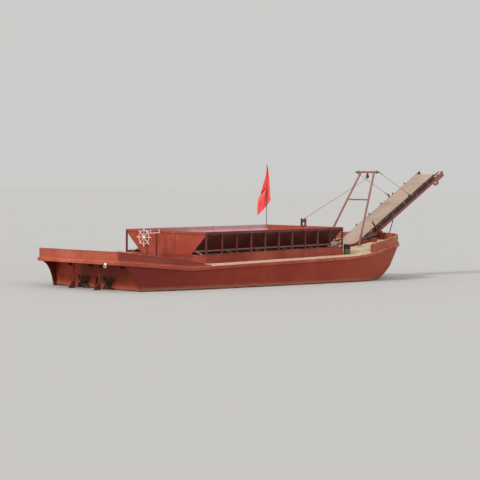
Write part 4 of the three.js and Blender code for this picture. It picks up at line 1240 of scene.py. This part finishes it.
wear(frame_paint, "bitts_stern_port", "bitts_stern_starboard", "bitts_bow_port", "bitts_bow_starboard")
drum_finish = drum_paint("drum paint")
wear(drum_finish, "fuel_drum")
DRUM_LID = Vector((station(14.43), -3.33, height(0.0003) + 0.702))
bungs = Shape()
for dx, r in ((0.14, 0.032), (-0.15, 0.02)):
    foot = DRUM_LID + Vector((dx, 0, 0))
    profile = [(0, r * 1.2), (0.006, r * 1.2), (0.007, r), (0.016, r), (0.018, r * 0.7)]
    bungs.turned(foot, foot + Vector((0, 0, 1)), profile, 16)
bungs.piece("drum_bungs", drum_finish, "barge", "drum_paint")


# Sand: what the belt spills is damp river sand. It lies in low drifts on the bow deck, round the
# conveyor's well and along the side decks, and thins out towards the deck's edge.

SAND_STEP, SAND_AFT, SAND_LONG, SAND_EDGE = 0.11, -0.2, 22.6, 3.85
SIDE_DECK_END, BOW_DECK, WELL_END, SAND_END, WELL_EDGE = 14.2, 16.6, 21.6, 22.6, 1.23
BARE, THIN, BED, SIDE_DEPTH, BOW_DEPTH = -0.03, 0.0015, 0.0006, 0.006, 0.035


def sand_bed(name):
    """Damp river sand with its coarser grains."""
    material, where = start_finish(name)
    broad = where.noise(1.4, 5, 0.6)
    grains = where.noise(150, 5, 0.85)
    colour = broad.step(0.3, 0.7).mix("b39a7c", "cbb699")
    colour = (grains.step(0.56, 0.76) * 0.5).mix(colour, "7c6652")
    close_finish(where, colour, 0.95, grains * 0.8 + broad * 2.0, 0.006)
    return material


def drift_depth(x, y):
    """Depth of sand on the deck: deepest by the conveyor's well and thin at the edges."""
    s, edge, beside_well = x - HOPPER_AFT, side_at(x) - abs(y), abs(y) - WELL_EDGE
    if s < SIDE_DECK_END:
        clear = min(edge + 0.005, abs(y) - HOPPER_HALF - 0.01, s + 0.3)
    elif s < BOW_DECK:
        clear = min(edge - 0.02, s - SIDE_DECK_END, beside_well)
    else:
        clear = min(edge - BULWARK - 0.06, max(beside_well, s - WELL_END), SAND_END - s)
    if clear <= 0:
        return BARE
    rough = noise.fractal(Vector((x * 0.9, y * 0.9, 4.0)), 0.9, 2.1, 5) * 0.022
    ripple = noise.noise(Vector((x * 7, y * 7, 1.0))) * 0.004
    return min(clear * 0.35, (BOW_DEPTH if s > HOPPER_LONG else SIDE_DEPTH) + rough + ripple)


xs = [station(SAND_AFT) + SAND_STEP * i for i in range(int(SAND_LONG / SAND_STEP))]
ys = [-SAND_EDGE + SAND_STEP * j for j in range(int(2 * SAND_EDGE / SAND_STEP) + 1)]
depths = {
    (i, j): drift_depth(x, y)
    for i, x in enumerate(xs) for j, y in enumerate(ys) if abs(y) < side_at(x) + SAND_STEP
}
drifts, numbers, rims = Shape(), {}, {}


def sand_corner(corner, under):
    """The number of a corner's point on top of the sand or under it, one point where it is thin."""
    (i, j), deep = corner, depths[corner] > THIN
    key = (i, j, under if deep else 0)
    if key not in numbers:
        numbers[key] = len(drifts.points)
        lift = BED + depths[corner] if deep and not under else BED
        drifts.points.append(Vector((xs[i], ys[j], deck_at(xs[i], lift))))
    return numbers[key]


def off_deck(corner):
    """Whether a corner has no sand to lie on."""
    if depths.get(corner, BARE) <= BARE:
        return True
    return abs(ys[corner[1]]) > side_at(xs[corner[0]]) - 0.01


for i in range(len(xs) - 1):
    for j in range(len(ys) - 1):
        corners = [(i, j), (i + 1, j), (i + 1, j + 1), (i, j + 1)]
        if any(off_deck(c) for c in corners) or all(depths[c] <= THIN for c in corners):
            continue
        top, low = ([sand_corner(c, under) for c in corners] for under in (0, 1))
        drifts.faces += [top, low[::-1]]
        for a in range(4):
            b = (a + 1) % 4
            rims[corners[a], corners[b]] = (top[a], top[b], low[b], low[a])
for (here, there), wall in rims.items():
    wall = list(dict.fromkeys(wall))
    if (there, here) not in rims and len(wall) > 2:
        drifts.faces.append(wall[::-1])
drifts.piece("deck_sand", sand_bed("river sand"), "barge", "red_hull", 60)


# Flag: a plain red cotton flag of 2.3 by 1.5 metres on a steel staff. It is held along its hoist
# and hangs nearly limp in a light air.

FLY, HOIST, FLY_CELLS, HOIST_CELLS = 2.3, 1.5, 36, 24
FLAG_WAY, FLAG_DROP, LIGHT_AIR, FALL_STEPS = (0.62, -0.78), 0.75, (-2.73, 3.43, -9.4), 40
OFF_STAFF, WAVE, WAVE_TURN = 0.026, 0.1, 5.0
STAFF = Vector((station(14.045), HOPPER_HALF - 0.045, height(5.95)))
COTTON = dict(
    quality=5, mass=0.18, air_damping=2.5, tension_stiffness=25, compression_stiffness=25,
    shear_stiffness=8, bending_stiffness=0.12, vertex_group_mass="hoist",
)


def flag_cotton(name):
    """Thin red cotton, faded in patches."""
    material, where = start_finish(name)
    cloud = where.noise(2.2, 5, 0.6)
    colour = cloud.step(0.3, 0.75).mix("e04648", "ef6462")
    close_finish(where, colour, 0.85, cloud * 0.5, 0.002, {"Sheen Weight": 0.3})
    return material


def flat_flag():
    """The cloth before it falls: it slopes down from the staff in a slight wave."""
    points, faces = [], []
    for i in range(FLY_CELLS + 1):
        for j in range(HOIST_CELLS + 1):
            u, v = FLY * i / FLY_CELLS, HOIST * j / HOIST_CELLS
            out, side = OFF_STAFF + u * math.cos(FLAG_DROP), WAVE * math.sin(u * WAVE_TURN)
            points.append((
                STAFF.x + out * FLAG_WAY[0] - side * FLAG_WAY[1],
                STAFF.y + out * FLAG_WAY[1] + side * FLAG_WAY[0],
                STAFF.z - v - u * math.sin(FLAG_DROP),
            ))
    for i in range(FLY_CELLS):
        for j in range(HOIST_CELLS):
            a = i * (HOIST_CELLS + 1) + j
            faces.append([a, a + 1, a + HOIST_CELLS + 2, a + HOIST_CELLS + 1])
    mesh = bpy.data.meshes.new("flag_cloth")
    mesh.from_pydata(points, [], faces)
    cloth = bpy.data.objects.new("flag_cloth", mesh)
    bpy.context.scene.collection.objects.link(cloth)
    return cloth


def keep_shape(piece):
    """Gives a piece the mesh that its modifiers have made, and takes them off it."""
    made = bpy.data.meshes.new_from_object(piece.evaluated_get(bpy.context.evaluated_depsgraph_get()))
    piece.modifiers.clear()
    piece.data = made


flag = flat_flag()
held = flag.vertex_groups.new(name="hoist")
held.add(list(range(0, HOIST_CELLS + 1, 8)), 1.0, "REPLACE")
fall = flag.modifiers.new("fall", "CLOTH")
for setting, value in COTTON.items():
    setattr(fall.settings, setting, value)
fall.collision_settings.use_self_collision = True
fall.collision_settings.self_distance_min = 0.012
fall.point_cache.frame_start, fall.point_cache.frame_end = 1, FALL_STEPS
bpy.context.scene.gravity = LIGHT_AIR
for step in range(1, FALL_STEPS + 1):
    bpy.context.scene.frame_set(step)
keep_shape(flag)
soften = flag.modifiers.new("soften", "SMOOTH")
soften.factor, soften.iterations = 0.3, 1
flag.modifiers.new("round", "SUBSURF").levels = 1
keep_shape(flag)
bpy.context.scene.frame_set(1)
flag.data.shade_smooth()
flag.data.materials.clear()
flag.data.materials.append(flag_cotton("flag cotton"))
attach(flag, "barge")
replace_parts(flag, "flag")


# Setting: a plain pale floor at the waterline, sloped as the empty barge trims by the stern,
# a pale surround, and large soft lights.

FLOOR_REACH, SLOPE_END = 900.0, 40.0
floor_points = [
    (x, y, WATERLINE - TRIM * max(-SLOPE_END, min(SLOPE_END, x)))
    for y in (-FLOOR_REACH, FLOOR_REACH) for x in (-FLOOR_REACH, -SLOPE_END, SLOPE_END, FLOOR_REACH)
]
floor_mesh = bpy.data.meshes.new("floor")
floor_mesh.from_pydata(floor_points, [], [[i, i + 1, i + 5, i + 4] for i in range(3)])
floor = bpy.data.objects.new("floor", floor_mesh)
bpy.context.scene.collection.objects.link(floor)
floor_finish, floor_where = start_finish("pale floor")
close_finish(floor_where, dye("c1c0be"), 1.0, floor_where.noise(0.2, 1), 0.0001)
floor_mesh.materials.append(floor_finish)

surround = bpy.data.worlds.new("surround")
surround.use_nodes = True
surround.node_tree.nodes["Background"].inputs["Color"].default_value = (0.605, 0.60, 0.59, 1)
bpy.context.scene.world = surround


def soft_sun(name, source, strength, spread, colour):
    """A wide sun lamp that shines from that direction."""
    data = bpy.data.lights.new(name, "SUN")
    data.energy, data.angle, data.color = strength, math.radians(spread), colour
    lamp = bpy.data.objects.new(name, data)
    lamp.rotation_euler = (-Vector(source)).to_track_quat("-Z", "Y").to_euler()
    bpy.context.scene.collection.objects.link(lamp)


soft_sun("key", (-0.80, 0.02, 0.58), 1.85, 14, (1.0, 0.97, 0.93))
soft_sun("fill", (-0.25, -0.85, 0.40), 1.0, 60, (0.96, 0.97, 1.0))
soft_sun("low", (-0.98, -0.05, 0.12), 0.5, 40, (1.0, 0.97, 0.94))
